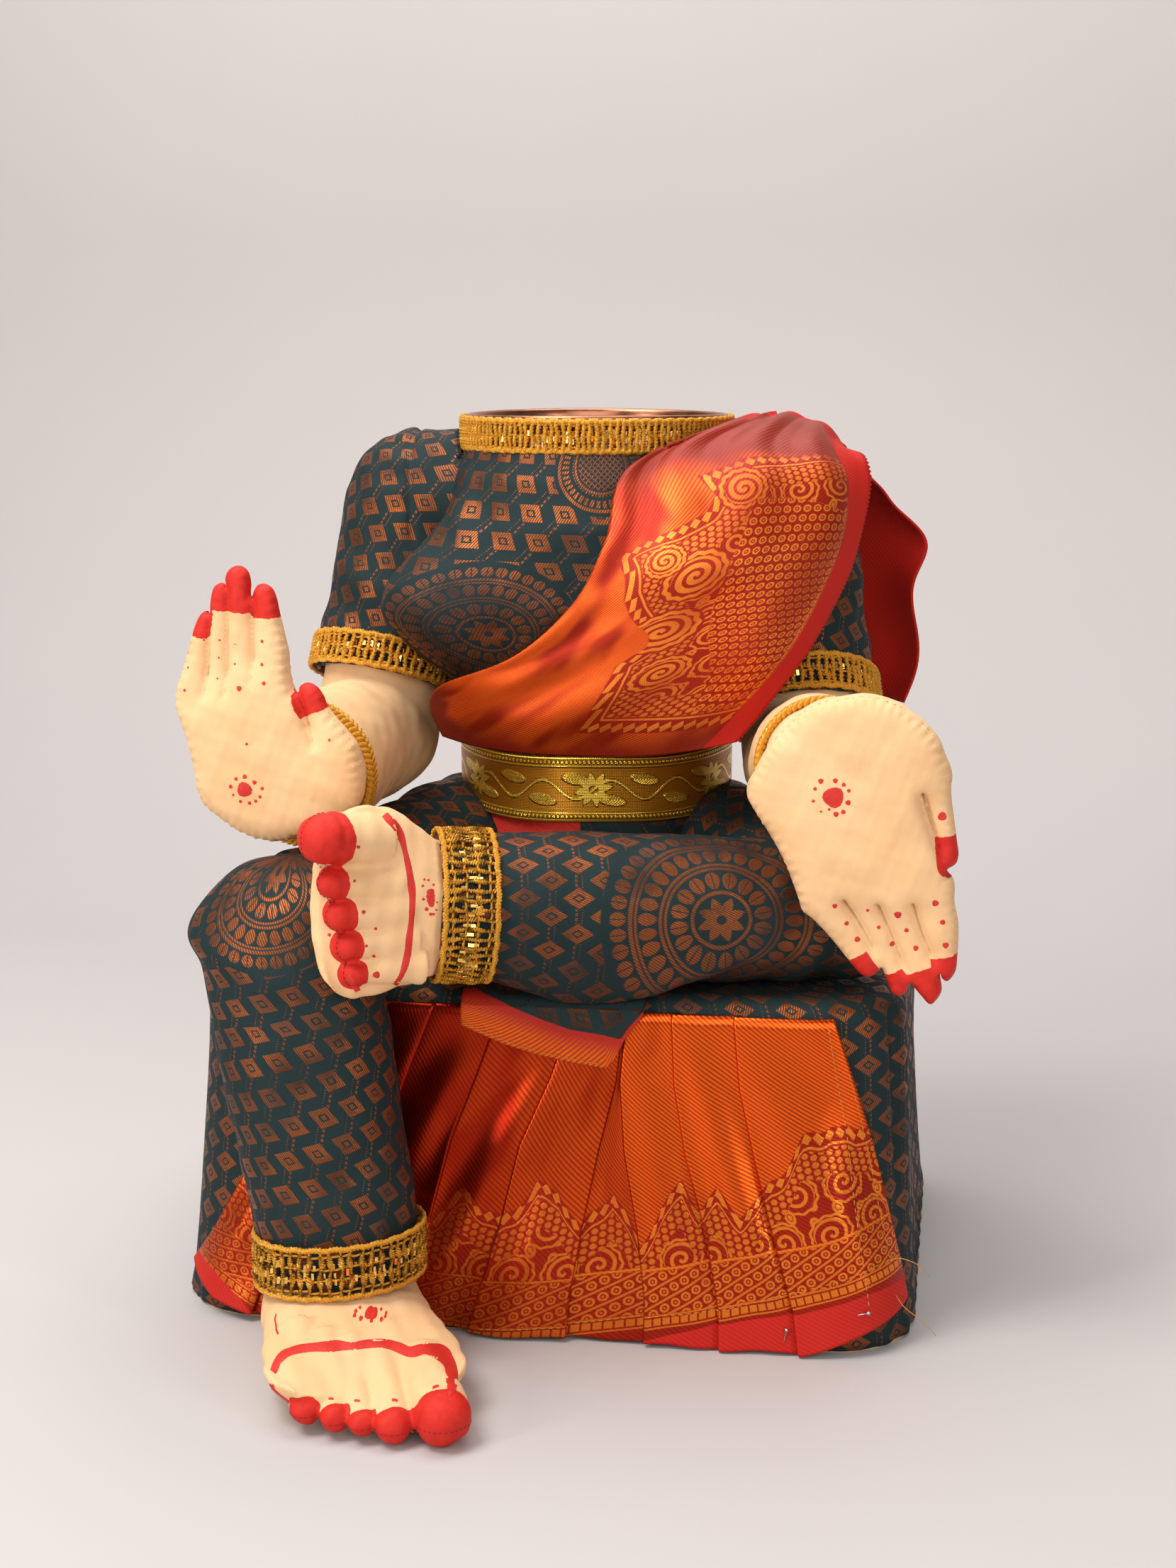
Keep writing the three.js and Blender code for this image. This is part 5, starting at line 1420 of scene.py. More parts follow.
LEFT_SEAMS = [
    [(152.6, 238.4), (154, 232.3), (157.1, 222.8), (159.6, 215), (162.5, 208.9)],
    [(122.7, 195.1), (128, 187.2), (133, 178.5), (138.2, 168.1)],
    [(136.1, 193.8), (140.2, 185), (143.8, 176.2), (147, 168.3), (149.5, 162.3)],
    [(149.8, 194.3), (152.6, 185.5), (155.8, 177.6), (159.5, 169.7), (160.9, 166.9)],
]
LEFT_FINGERS = [
    ((116.7, 193.1), (132.4, 165.9), (131.3, 174.1), 10),
    ((129.6, 193.6), (145.1, 158.3), (144.3, 167.1), 9.5), ((142.6, 193.1), (156.4, 155.2), (153.9, 168.1), 9),
    ((157.9, 195.5), (163.9, 165.4), (163.3, 173.6), 7.5),
    ((161.5, 234.2), (164.6, 211), (163.2, 222.1), 4.8),
]
LEFT_DOTS = [
    (160.3, 230.1, 1.73), (119.4, 193.5, 0.99), (124.1, 186.2, 0.91), (128.4, 179.6, 1.15), (132.3, 192, 0.66),
    (136.7, 184.8, 0.74), (142, 177.8, 0.99), (144.1, 190.7, 1.48), (147.6, 184.1, 0.91), (151.4, 176.9, 1.07),
    (158.6, 196, 1.32), (161.6, 188.1, 1.07), (163, 178.7, 1.24),
]
LEFT_FLOWER = [
    (118.3, 237.7, 4.12), (113.3, 244, 1.07), (118.9, 244.3, 0.99), (122.2, 242.8, 0.82), (124.2, 240.5, 0.74),
    (124, 235.7, 1.07), (122.2, 232, 0.91), (119.4, 231, 1.07), (116.7, 232.9, 0.58), (113.5, 231.8, 0.49),
    (110.5, 236, 0.66), (111.1, 240.9, 0.74),
]
HANDS = {
    -1: (RIGHT_EDGE, RIGHT_SEAMS, RIGHT_FINGERS, RIGHT_DOTS + RIGHT_FLOWER),
    1: (LEFT_EDGE, LEFT_SEAMS, LEFT_FINGERS, LEFT_DOTS + LEFT_FLOWER),
}


def even_line(points, step, closed=False):
    """The same line with places a step apart."""
    p = np.array(points + points[:1] if closed else points, float)
    if closed:
        p = spline(np.concatenate([p[-2:-1], p, p[1:2]]), 12 * (len(p) + 1))[12:-12]
    else:
        p = spline(p, 12 * len(p))
    s = lengths(p)
    n = max(int(s[-1] / step), 3)
    return along_line(p, np.linspace(0, s[-1], n + 1)[: n if closed else n + 1], s)


def inside_of(q, ring):
    """Whether places are inside a closed line."""
    a, b = ring, np.roll(ring, -1, 0)
    hit = np.zeros(len(q), bool)
    for (ax, ay), (bx, by) in zip(a, b):
        if ay != by:
            hit ^= ((ay > q[:, 1]) != (by > q[:, 1])) & (q[:, 0] < (bx - ax) * (q[:, 1] - ay) / (by - ay) + ax)
    return hit


def off_line(q, line, closed=False):
    """Distance to a line and how far along it the nearest place is."""
    a = line if closed else line[:-1]
    b = np.roll(line, -1, 0) if closed else line[1:]
    best, along, total = np.full(len(q), 1e9), np.zeros(len(q)), 0.0
    for s, e in zip(a, b):
        d = e - s
        length = float(np.hypot(*d))
        t = np.clip((q - s) @ d / length**2, 0, 1)
        off = np.linalg.norm(q - s - t[:, None] * d, axis=1)
        near = off < best
        best, along = np.where(near, off, best), np.where(near, total + t * length, along)
        total += length
    return best, along


def stuffing(ring, seams, cell=0.8):
    """How full a pad sewn along its ring and its seams gets, read off at any place inside it."""
    low = ring.min(0) - 2 * cell
    nx, nz = (np.ptp(ring, axis=0) / cell).astype(int) + 5
    X, Z = np.meshgrid(low[0] + np.arange(nx) * cell, low[1] + np.arange(nz) * cell, indexing="ij")
    q = np.stack([X.ravel(), Z.ravel()], 1)
    inside = inside_of(q, ring).reshape(nx, nz)
    held = np.full((nx, nz), 1e9)
    for line in seams:
        off, along = off_line(q, line)
        reach = along.max()
        level = 2.5 + 40 * ease((along - reach + 9) / 9)
        level = np.where(off < cell * 0.75, level, 1e9).reshape(nx, nz)
        held = np.minimum(held, level)
    h = np.where(inside, 30.0, 0.0)
    parity = np.add.outer(np.arange(nx), np.arange(nz)) % 2
    for turn in range(900):
        part = inside & (parity == turn % 2)
        around_it = np.roll(h, 1, 0) + np.roll(h, -1, 0) + np.roll(h, 1, 1) + np.roll(h, -1, 1)
        fresh = np.minimum((around_it + 2 * cell * cell) / 4, held)
        h = np.where(part, np.maximum(h + 1.85 * (fresh - h), 0), h)
        h = np.minimum(h, held)

    def read(p):
        g = (p - low) / cell
        i = np.clip(g.astype(int), 0, [nx - 2, nz - 2])
        f = g - i
        a = mix(h[i[:, 0], i[:, 1]], h[i[:, 0] + 1, i[:, 1]], f[:, 0])
        b = mix(h[i[:, 0], i[:, 1] + 1], h[i[:, 0] + 1, i[:, 1] + 1], f[:, 0])
        return mix(a, b, f[:, 1])

    return read


def pad(name, ring, seams, middle, deep, extra, material):
    """A stuffed pad standing on edge: two faces of cloth joined at the ring and held at the seams."""
    step = 1.25
    low, high = ring.min(0), ring.max(0)
    X, Z = np.meshgrid(np.arange(low[0], high[0], step), np.arange(low[1], high[1], step * 0.87), indexing="ij")
    X = X + (np.arange(X.shape[1]) % 2) * step / 2
    q = np.stack([X.ravel(), Z.ravel()], 1)
    q = q[inside_of(q, ring)]
    q = q[off_line(q, ring, True)[0] > 0.75 * step]
    for line in seams:
        q = q[off_line(q, line)[0] > 0.6 * step]
    places, edges = ring.tolist(), []
    for line in seams:
        line = line[1:] if off_line(line[:1], ring, True)[0][0] < 1.0 else line
        edges += [(len(places) + i, len(places) + i + 1) for i in range(len(line) - 1)]
        places += line.tolist()
    verts = [Vector(v) for v in places + q.tolist()]
    flat, _, faces, *_ = delaunay_2d_cdt(verts, edges, [list(range(len(ring)))], 1, 1e-4)
    flat = np.array([tuple(v) for v in flat])
    edge, along = off_line(flat, ring, True)
    rim = edge < 0.02
    full = np.where(rim, 0, np.maximum(stuffing(ring, seams)(flat), 0.15))
    swell = deep * (1 - np.exp(-np.sqrt(full) / (deep * 0.82)))
    # the hand-sewn edge pulls the cloth in between its stitches
    swell = swell * (1 - 0.1 * np.exp(-((edge / 3.2) ** 2)) * (1 + np.sin(along * TAU / 4.1 + 2 * np.sin(along / 17))))
    both = []
    for way, share in ((-1, 1.0), (1, 0.94)):
        P = np.stack([flat[:, 0], middle + way * swell * share, flat[:, 1]], 1)
        P[:, 1] += way * (0.3 * ripple(P, 15, 12) + 0.14 * ripple(P, 6, 13)) * ease(swell / 5)
        both.append(P)
    # both faces share the rim, so the back's own places there go
    n = len(flat)
    keep = np.concatenate([np.ones(n, bool), ~rim])
    number = np.cumsum(keep) - 1
    back = np.where(rim, np.arange(n), number[n:])
    P = np.concatenate(both)[keep]
    triangles = [tuple(f) for f in faces] + [tuple(int(back[i]) for i in reversed(f)) for f in faces]
    points, rest = ring_solids(extra, len(P))
    me = mesh_of(name, np.concatenate([P, points]), triangles + rest)
    me.validate()
    finish_mesh(me, material)
    return outward(link(name, me))


def hand(side, name, body):
    _, _, _, pivot, wrist, palm = arm_frame(side)
    outline, sewn, fingers, spots = HANDS[side]
    ring = even_line(outline, 1.1, True)
    seams = [even_line(line, 1.1) for line in sewn]
    way = unit(wrist - pivot)
    heel = [(*(wrist - way * d), s, s) for d, s in ((12.5, 24.2), (8, 24.8), (3, 24.6), (-1, 22.5), (-4, 18))]
    o = pad(f"{name}_hand_skin", ring, seams, palm[1], 12.5, [limb_points(heel, 40)], SKIN)

    def finger_at(flat, finger):
        """How far past the paint's edge places are, and how far aside in half widths."""
        base, end, cut = (np.array(v) for v in finger[:3])
        return (flat - cut) @ unit(end - base), off_line(flat, np.array([base, end]))[0] / finger[3]

    flat = points_of(o)[:, [0, 2]]
    tip, best = np.full(len(flat), UNPAINTED), np.full(len(flat), 1e9)
    for finger in fingers:
        beyond, aside = finger_at(flat, finger)
        paint = np.clip(np.minimum(beyond, (1.2 - aside) * 9), -9, 9)
        tip, best = np.where(aside < best, paint, tip), np.minimum(aside, best)
    set_attribute(o, "tip", tip)
    ride(o, body, f"{name}_hand", slot="skin_cloth")
    tree = tree_of(o)
    # stitches along the seams and just inside the edge, in runs that end at the painted tips
    ahead = np.roll(ring, -1, 0) - np.roll(ring, 1, 0)
    inward = unit(np.stack([-ahead[:, 1], ahead[:, 0]], 1)) * 0.9
    inward = inward if inside_of(ring[:1] + inward[:1], ring)[0] else -inward
    runs = []
    for line, lift in [(line, 0.12) for line in seams] + [(ring + inward, 0.1)]:
        runs.append([])
        for x, z in line:
            at, normal = strike(tree, (x, palm[1] - 40, z), INWARD)
            if at is None:
                continue
            q = at + normal * lift
            near = (finger_at(q[None, [0, 2]], finger) for finger in fingers)
            if any(beyond[0] > -1 and aside[0] < 1.3 for beyond, aside in near):
                runs.append([])
            else:
                runs[-1].append(q)
    runs = [run for run in runs if len(run) > 3]
    stitches(f"{name}_hand_stitches", runs, THREAD, body, "skin_cloth", 0.17, 1.6, 2.2)
    marks = [("disc", arr(x, palm[1], z), r) for x, z, r in spots]
    decals(f"{name}_hand_paint", o, marks, body, INWARD)


def decals(name, target, marks, body, toward):
    """Thin painted spots and strokes laid on a skin. marks are discs (centre, radius) and strokes ([points], width)."""
    tree = tree_of(target)
    toward = arr(*toward)
    across = unit(np.cross(toward, arr(0.01, 0, 1)))
    upward = unit(np.cross(across, toward))
    sides = 14
    verts, faces = [], []

    def drop(p):
        at, normal = strike(tree, p - toward * 50, toward)
        return None if at is None else (at, normal)

    def disc(centre, radius):
        rings = [[drop(centre)]]
        th = np.linspace(0, TAU, sides, endpoint=False)
        for share in (0.55, 1.0):
            reach = radius * share * (1 + 0.08 * np.sin(th * 3 + centre[0]))
            places = (centre + r * (across * math.cos(t) + upward * math.sin(t)) for t, r in zip(th, reach))
            rings.append([drop(p) for p in places])
        if any(x is None for ring in rings for x in ring):
            return
        start = len(verts)
        for ring, up in zip(rings, (0.16, 0.14, 0.02)):
            verts.extend(p + n * up for p, n in ring)
        for j in range(sides):
            a, b = start + 1 + j, start + 1 + (j + 1) % sides
            faces.extend([(start, a, b), (a, a + sides, b + sides, b)])

    def stroke(path, width):
        ways = unit(np.cross(unit(np.gradient(path, axis=0)), toward))
        joined = False
        for i, p in enumerate(path):
            w = width * (0.5 + 0.07 * math.sin(i * 0.35) + 0.03 * math.sin(i * 0.9))
            line = [drop(p + ways[i] * w * c) for c in (-1, -0.5, 0, 0.5, 1)]
            if any(x is None for x in line):
                joined = False
                continue
            verts.extend(q + n * up for (q, n), up in zip(line, (0.02, 0.15, 0.18, 0.15, 0.02)))
            if joined:
                base = len(verts) - 10
                faces.extend((base + j, base + j + 1, base + j + 6, base + j + 5) for j in range(4))
            joined = True

    for kind, place, size in marks:
        disc(place, size) if kind == "disc" else stroke(place, size)
    me = mesh_of(name, np.array(verts), faces)
    finish_mesh(me, PAINT)
    ride(link(name, me), body, slot="skin_cloth")


for side, name, body in ((-1, "right", RIGHT), (1, "left", LEFT)):
    sleeve(side, name)
    forearm(side, name, body)
    hand(side, name, body)


# Legs
def trouser(name, P, *look):
    """A closed, padded tube of brocade in a part's place."""
    mat = green_brocade(f"{name}_brocade", *look)
    o = outward(grid(f"{name}_cloth", P, mat, limb_uv(P), wrap_cols=True, caps=True))
    ride(o, BODY, name, slot="green_brocade")


def hanging_leg():
    # a share of the height, of the leg's lean and of its step forward, then its width and depth
    shares = [
        (1, 0, -0.95, 0.2, 0.2), (0.975, 0, -0.85, 0.58, 0.6), (0.91, 0, -0.65, 0.9, 0.92),
        (0.82, 0, -0.4, 1.08, 1.08), (0.74, 0.1, -0.15, 1, 1.08), (0.6, 0.3, 0.2, 0.97, 1.02),
        (0.4, 0.55, 0.55, 0.94, 1), (0.2, 0.85, 0.85, 0.92, 0.97), (0, 1, 1, 0.84, 0.93),
    ]
    s = spline(shares, 96)
    top, end, knee_y = SEAT_H + 57, 36, -SEAT_D / 2 - 23
    lean, step = 24, 13
    th = np.linspace(0, TAU, 120, endpoint=False)
    level, leaning, stepping, wide, deep = s.T[..., None]
    x = -104 + lean * leaning + 38.5 * wide * np.cos(th)
    y = knee_y - step * stepping + 30 * deep * np.sin(th)
    P = np.stack([x, y, mix(end, top, level) + 0 * x], -1)
    n = unit(P - P.mean(1, keepdims=True))
    folds = 0.78 * np.sin(level * 34 + 2.2 * np.cos(th + 0.6)) * bump(level, 0.78, 0.12)
    folds = folds + 0.9 * np.sin(th * 15) * bump(level, 0.0, 0.12)
    folds = folds + bump(th - 4.0 - level, 0, 0.25) * bump(level, 0.5, 0.3)
    P = P + n * (folds - 0.7 + 0.35 * ripple(P, 24, 21))[..., None]
    # the stool's front and the skirt hold it off
    for under, limit in ((SEAT_H - 4, -SEAT_D / 2 - 11.2), (SEAT_H + 1, -SEAT_D / 2 - 1.5)):
        P[..., 1] = np.where(P[..., 2] < under, np.minimum(P[..., 1], limit), P[..., 1])
    trouser("right_shin", P, 0.35, [(171, 3, 36, 1.0)], (), (104, 66, 24, 40))
    return arr(-104 + lean, knee_y - step, end)


ankle = hanging_leg()
lace("right_anklet", ankle + arr(0, 0, -1.5), UPWARD, ACROSS, 33.4, 28.6, 22, BODY, "right_ankle_lace", 3.7, tilt=3.0)

KNEE = arr(120, -SEAT_D / 2 + 45, SEAT_H + 29.3)
CROSS = arr(-44, -SEAT_D / 2 - 14, SEAT_H + 39.5)
CROSS_WAY = unit(CROSS - KNEE)


def crossed_leg():
    t, sides, thick_r = np.linspace(0, 1, 70), 120, 29
    r = thick_r * np.interp(t, [0, 0.3, 0.65, 1], [1, 1.06, 1.1, 1]) - 0.5
    P = limb_points([(*(KNEE + (CROSS - KNEE) * x), q, q) for x, q in zip(t, r)], sides, round_start=23)
    n = unit(P - P.mean(1, keepdims=True))
    th = np.linspace(0, TAU, sides, endpoint=False)[None]
    x = np.linspace(-0.15, 1, len(P))[:, None]
    folds = 0.8 * np.sin(th * 13 + 1) * bump(x, 1.0, 0.12) + 0.9 * np.sin(x * 40 + 2 * np.sin(th)) * bump(x, 0.02, 0.14)
    P = P + n * (folds + 0.35 * ripple(P, 26, 31))[..., None]
    # it sags over the seat's edge in front
    front = ease((-106 - P[..., 1]) / 10) * ease((x + 0.1) / 0.2) * ease((0.95 - x) / 0.35)
    P[..., 2] -= 9.5 * front * ease((SEAT_H + 28 - P[..., 2]) / 24)
    P[..., 2] = np.maximum(P[..., 2], SEAT_H + 1.2 - 11 * front)
    trouser("left_shin", np.roll(P, sides // 2, 1), 1.57, [(100.7, 84, 47, 1.0)])


crossed_leg()
lace("left_anklet", CROSS - CROSS_WAY * 23, CROSS_WAY, ACROSS, 29.4, 29.4, 22.5, BODY, "left_ankle_lace", 3.7)


def thigh(side, name, end):
    t = np.linspace(0, 1, 40)
    r = mix(27.4, 34.4, np.interp(t, [0, 0.35, 0.7, 1], [1, 0.7, 0.15, 0]))
    hip = arr(side * 54, AXIS[1] - 8)
    st = [(*mix(hip, arr(*end), x), SEAT_H + q + 0.9, q, q) for x, q in zip(t, r)]
    P = limb_points(st, 96, round_start=17)
    wave = 0.8 * np.sin(np.linspace(0, 26, len(P)))[:, None] + 0.4 * ripple(P, 20, 9)
    P = P + unit(P - P.mean(1, keepdims=True)) * wave[..., None]
    P[..., 2] = np.maximum(P[..., 2], SEAT_H + 1.0)
    trouser(name, P, 0.3)


thigh(-1, "right_thigh", (-104, -SEAT_D / 2 + 6))
thigh(1, "left_thigh", (120, KNEE[1] + 4))


# Feet: a stuffed sole with a row of round toes, each at the end of a low ridge.
# Sections are (along, half width, top, bottom, middle) as shares; toes are (along, aside, radius, height).
SECTIONS = [
    (-1, 0.3, 0.5, 0.7, 0.0), (-0.75, 0.62, 0.85, 0.95, 0.0), (-0.2, 0.78, 1, 1, 0.0), (0.25, 0.84, 0.64, 1, 0.03),
    (0.55, 0.94, 0.36, 0.97, 0.07), (0.8, 0.94, 0.05, 0.92, 0.09), (0.95, 0.78, -0.2, 0.75, 0.14),
]
CROSSED_SECTIONS = [
    (-1, 0.3, 0.5, 0.7, -0.1), (-0.75, 0.5, 0.85, 0.95, -0.1), (-0.2, 0.62, 0.95, 1, -0.16),
    (0.25, 0.76, 0.85, 1, -0.1),
    (0.55, 0.95, 0.6, 0.97, 0.02), (0.8, 1.02, 0.25, 0.95, 0.04), (1.0, 0.98, -0.08, 0.85, 0.04),
    (1.12, 0.84, -0.35, 0.7, 0.06),
]
TOES = [
    (1.16, 0.69, 11.2, -8.8), (1.12, 0.25, 7.2, -12), (1.06, -0.04, 5.6, -12), (0.99, -0.27, 5.6, -11.5),
    (0.9, -0.53, 6.0, -10.5),
]
CROSSED_TOES = [
    (1.19, 0.76, 10.2, -1), (1.12, 0.28, 5.9, -1), (1.05, -0.06, 6.0, 0), (0.99, -0.39, 5.5, 1), (0.93, -0.69, 4.9, 1),
]


def foot(name, at, toes, big, up, half, length, heel, rise, sole, floor, ends, sections, clear):
    """toes, big and up are the ways to the toes, to the big toe's side and out of the instep."""
    toes, big, up = unit(toes), unit(big), unit(up)

    def place(a, aside, h):
        return at + toes * a * (heel if a < 0 else length) + big * aside * half + up * h

    th = np.linspace(0, TAU, 48, endpoint=False)
    rings = []
    for a, w, t, b, c in spline(sections, 36):
        lift = np.where(np.sin(th) > 0, rise * t, sole * b) * np.sin(th)
        rings.append(np.array([place(a, w * math.cos(q) + c, l) for q, l in zip(th, lift)]))
    solids = [np.array(rings)]
    along, _, tops, *_ = zip(*sections)
    for a, aside, r, h in ends:
        centre = place(a, aside, h)
        top = np.interp(a - 0.5, along, tops) * rise
        back = place(a - 0.5, aside * 0.88, top - 8.5 - 0.25 * r)
        ridge = []
        for x in np.linspace(0, 1, 7):
            size = mix(8.5 + 0.35 * r, r, x**0.8)
            ridge.append((*mix(back, centre - toes * r * 0.35, x), size, size))
        solids.append(limb_points(ridge, 26, side=tuple(big)))
        st = [(*(centre + toes * r * d), r * s, r * s) for d, s in ((-1, 0.2), (-0.8, 0.6), (-0.5, 0.87), (0, 1.0))]
        solids.append(limb_points(st, 26, round_end=r, side=tuple(big)))

    def soften(co, no):
        q = clear(co + no * (0.3 * ripple(co, 10, 15))[:, None])
        if floor:
            q[:, 2] = np.maximum(q[:, 2], 0.3)
        return q

    o = fuse(f"{name}_foot_skin", solids, SKIN, 1.0, 3, soften)
    co = points_of(o)
    tip = np.full(len(co), UNPAINTED)
    for a, aside, r, h in ends:
        rel = co - place(a, aside, h)
        lean = rel @ up * (0.25 if floor else 0.0)
        beyond = rel @ toes - lean + r * (0.3 if floor else 0.75)
        tip = np.maximum(tip, np.minimum(beyond, (r * 1.32 - np.linalg.norm(rel, axis=1)) * 3))
    set_attribute(o, "tip", np.clip(tip, -9, 9))
    ride(o, BODY, f"{name}_foot", slot="skin_cloth")
    # a seam round each toe's end
    tree = tree_of(o)
    runs = []
    for a, aside, r, h in ends:
        centre = place(a, aside, h - 0.15 * r)
        run = []
        for t in np.linspace(-1.9, 1.9, 22):
            way = unit(toes * math.cos(t) + big * math.sin(t))
            if math.cos(t) < -0.2:
                continue
            hit, _ = strike(tree, centre + way * r * 2.2, -way)
            if hit is not None and np.linalg.norm(centre - hit) < r * 1.5:
                run.append(hit + way * 0.1)
        if len(run) > 4:
            runs.append(run)
    stitches(f"{name}_foot_stitches", runs, DARK_THREAD, BODY, "skin_cloth", 0.2, 1.3, 0.9)
    return o


def under_right_lace(q):
    """Keeps the foot inside the lace round the ankle."""
    rel = (q - ankle)[:, :2]
    far = np.hypot(rel[:, 0] / 32.6, rel[:, 1] / 27.8)
    limit = np.interp(q[:, 2] - ankle[2], (-8, -4.5, -2), (9, 1.5, 1.0))
    keep = np.where(far > limit, limit / np.maximum(far, 0.1), 1.0)
    q[:, :2] = ankle[:2] + rel * keep[:, None]
    return q


def under_left_lace(q):
    rel = q - CROSS
    along = rel @ CROSS_WAY
    aside = rel - along[:, None] * CROSS_WAY
    far = np.linalg.norm(aside, axis=1)
    limit = np.interp(along, (-0.5, 1.5, 7), (28.6, 30.5, 90))
    keep = np.where(far > limit, limit / np.maximum(far, 0.1), 1.0)
    return CROSS + along[:, None] * CROSS_WAY + aside * keep[:, None]


TURN, CROSS_TURN = math.radians(21), math.radians(54)
right_foot = foot(
    "right", arr(*ankle[:2], 20), arr(math.sin(TURN), -math.cos(TURN), 0), arr(math.cos(TURN), math.sin(TURN), 0),
    arr(*UPWARD), 41, 80, 30, 25, 20, True, TOES, SECTIONS, under_right_lace,
)
toes_way = unit(arr(-math.cos(CROSS_TURN), -math.sin(CROSS_TURN), 0.05))
cross_up = arr(math.sin(CROSS_TURN), -math.cos(CROSS_TURN), 0)
left_foot = foot(
    "left", CROSS - CROSS_WAY * 8 + arr(0, 0, 5), toes_way, np.cross(toes_way, cross_up), cross_up,
    38, 56, 24, 24, 20, False, CROSSED_TOES, CROSSED_SECTIONS, under_left_lace,
)


# Painted marks on the feet, as places on their skin seen from the front
LOOK = (-0.1538, 0.9714, -0.1810)


def paint_foot(name, target, line, wide, discs, strokes):
    marks = [("stroke", spline(line, 60), wide)]
    marks += [("disc", arr(*p[:3]), p[3]) for p in discs]
    marks += [("stroke", spline(s, 10), w) for s, w in strokes]
    decals(name, target, marks, BODY, LOOK)


paint_foot(
    "right_foot_paint", right_foot,
    [
        (-89, -217.2, 20.6), (-88.2, -210.3, 23.2), (-84, -205.9, 24.8), (-74, -202.6, 25.7), (-62.2, -199.9, 25.7),
        (-50.7, -196.3, 25.8),
        (-40.1, -198.7, 24.3), (-32.6, -197.5, 25.5), (-25, -194.4, 21.8), (-20.5, -198, 16),
    ], 2.7,
    [
        (-59.8, -179.9, 31.2, 1.9), (-58.2, -180.2, 31.2, 1.7), (-64.2, -178.1, 32.5, 0.6),
        (-65.4, -180.2, 31.8, 0.7), (-65.3, -182.6, 31.0, 0.7),
        (-62.4, -183.8, 30.4, 0.8), (-58.1, -183.7, 29.8, 0.7), (-54.4, -182.3, 29.9, 0.7),
        (-53.4, -180.0, 30.3, 0.55), (-53.6, -177.7, 30.7, 0.5),
        (-56.0, -176.2, 31.5, 0.5), (-59.8, -176.4, 32.0, 0.5),
    ],
    [
        ([(-24.6, -222.8, 21.4), (-23.5, -222.8, 21.8), (-22.3, -222.6, 22.0)], 0.7),
        ([(-54.8, -224.8, 14.8), (-53.7, -224.8, 14.8), (-52.6, -224.8, 14.8)], 0.7),
        ([(-40.1, -224.7, 16.1), (-39.0, -224.7, 16.1), (-37.9, -224.7, 15.8)], 0.7),
        ([(-65.0, -224.7, 14.9), (-64.0, -224.7, 14.9), (-63.0, -224.7, 14.8)], 0.7),
        ([(-98.4, -179.8, 28.2), (-98.0, -183.0, 27.1), (-95.7, -189.3, 26.6), (-93.3, -194.6, 26.2)], 0.7),
        ([(-88.6, -219.6, 17.5), (-87.8, -221.6, 15.5), (-84.5, -224.0, 13.6), (-80.5, -225.2, 12.0)], 2.2),
    ],
)
paint_foot(
    "left_foot_paint", left_foot,
    [
        (-56.1, -157.5, 229.6), (-50.9, -156.3, 223.5), (-48.2, -157.5, 215.8), (-46.2, -158.2, 206.9),
        (-45.1, -158.7, 199.0), (-45.0, -160.0, 191.2),
        (-46.1, -159.7, 181.9), (-47.3, -159.8, 172.7), (-50.3, -158.5, 164.0), (-56, -158.5, 158.5), (-61, -160, 157),
    ], 2.5,
    [
        (-38.7, -153.5, 198.0, 1.5), (-38.7, -153.5, 196.3, 1.7), (-38.6, -153.4, 194.6, 1.6),
        (-38.5, -153.4, 193.2, 1.2), (-41.1, -153.8, 203.2, 0.5),
        (-39.7, -152.9, 202.8, 0.5), (-41.6, -154.6, 200.8, 0.55), (-37.9, -152.0, 200.8, 0.5),
        (-41.3, -155.2, 195.5, 0.6), (-40.2, -154.6, 191.4, 0.8),
        (-38.8, -153.7, 189.2, 0.7), (-37.8, -153.0, 189.1, 0.6), (-36.8, -152.3, 190.7, 0.45),
        (-36.5, -151.9, 193.7, 0.4),
        (-62.2, -175.5, 220.1, 0.7), (-64.7, -172.7, 205.9, 0.6), (-61.6, -171.5, 193.3, 0.8),
        (-60.9, -170.6, 179.5, 0.6), (-58.2, -166.2, 185.5, 0.6),
        (-58.9, -167.2, 174.6, 0.7), (-58.0, -167.0, 167.0, 1.4), (-76.0, -169.8, 183.2, 0.7),
    ],
    [
        ([(-68.5, -172.5, 167.5), (-66.8, -171.5, 164.8), (-65.8, -166.2, 159.8)], 2.2),
        ([(-73.5, -165, 231.6), (-70.4, -164, 232.6), (-67.7, -163.3, 232.6)], 1.6),
    ],
)


# Flap of cloth under the crossed leg: the cloth's green part ends in a slanted line and a red part goes on below
GREEN_END = (
    (-30, 147), (-19.8, 144.1), (-9.9, 140.6), (0.9, 136.7), (11.7, 133.5), (22.5, 132.3), (32.2, 130.4), (35, 135),
    (42, 143),
)
CLOTH_END = ((-36, 134), (-17.6, 126.4), (-2.4, 122.1), (12, 119.6), (26, 117.7), (30, 122.5), (33.5, 130), (42, 142))


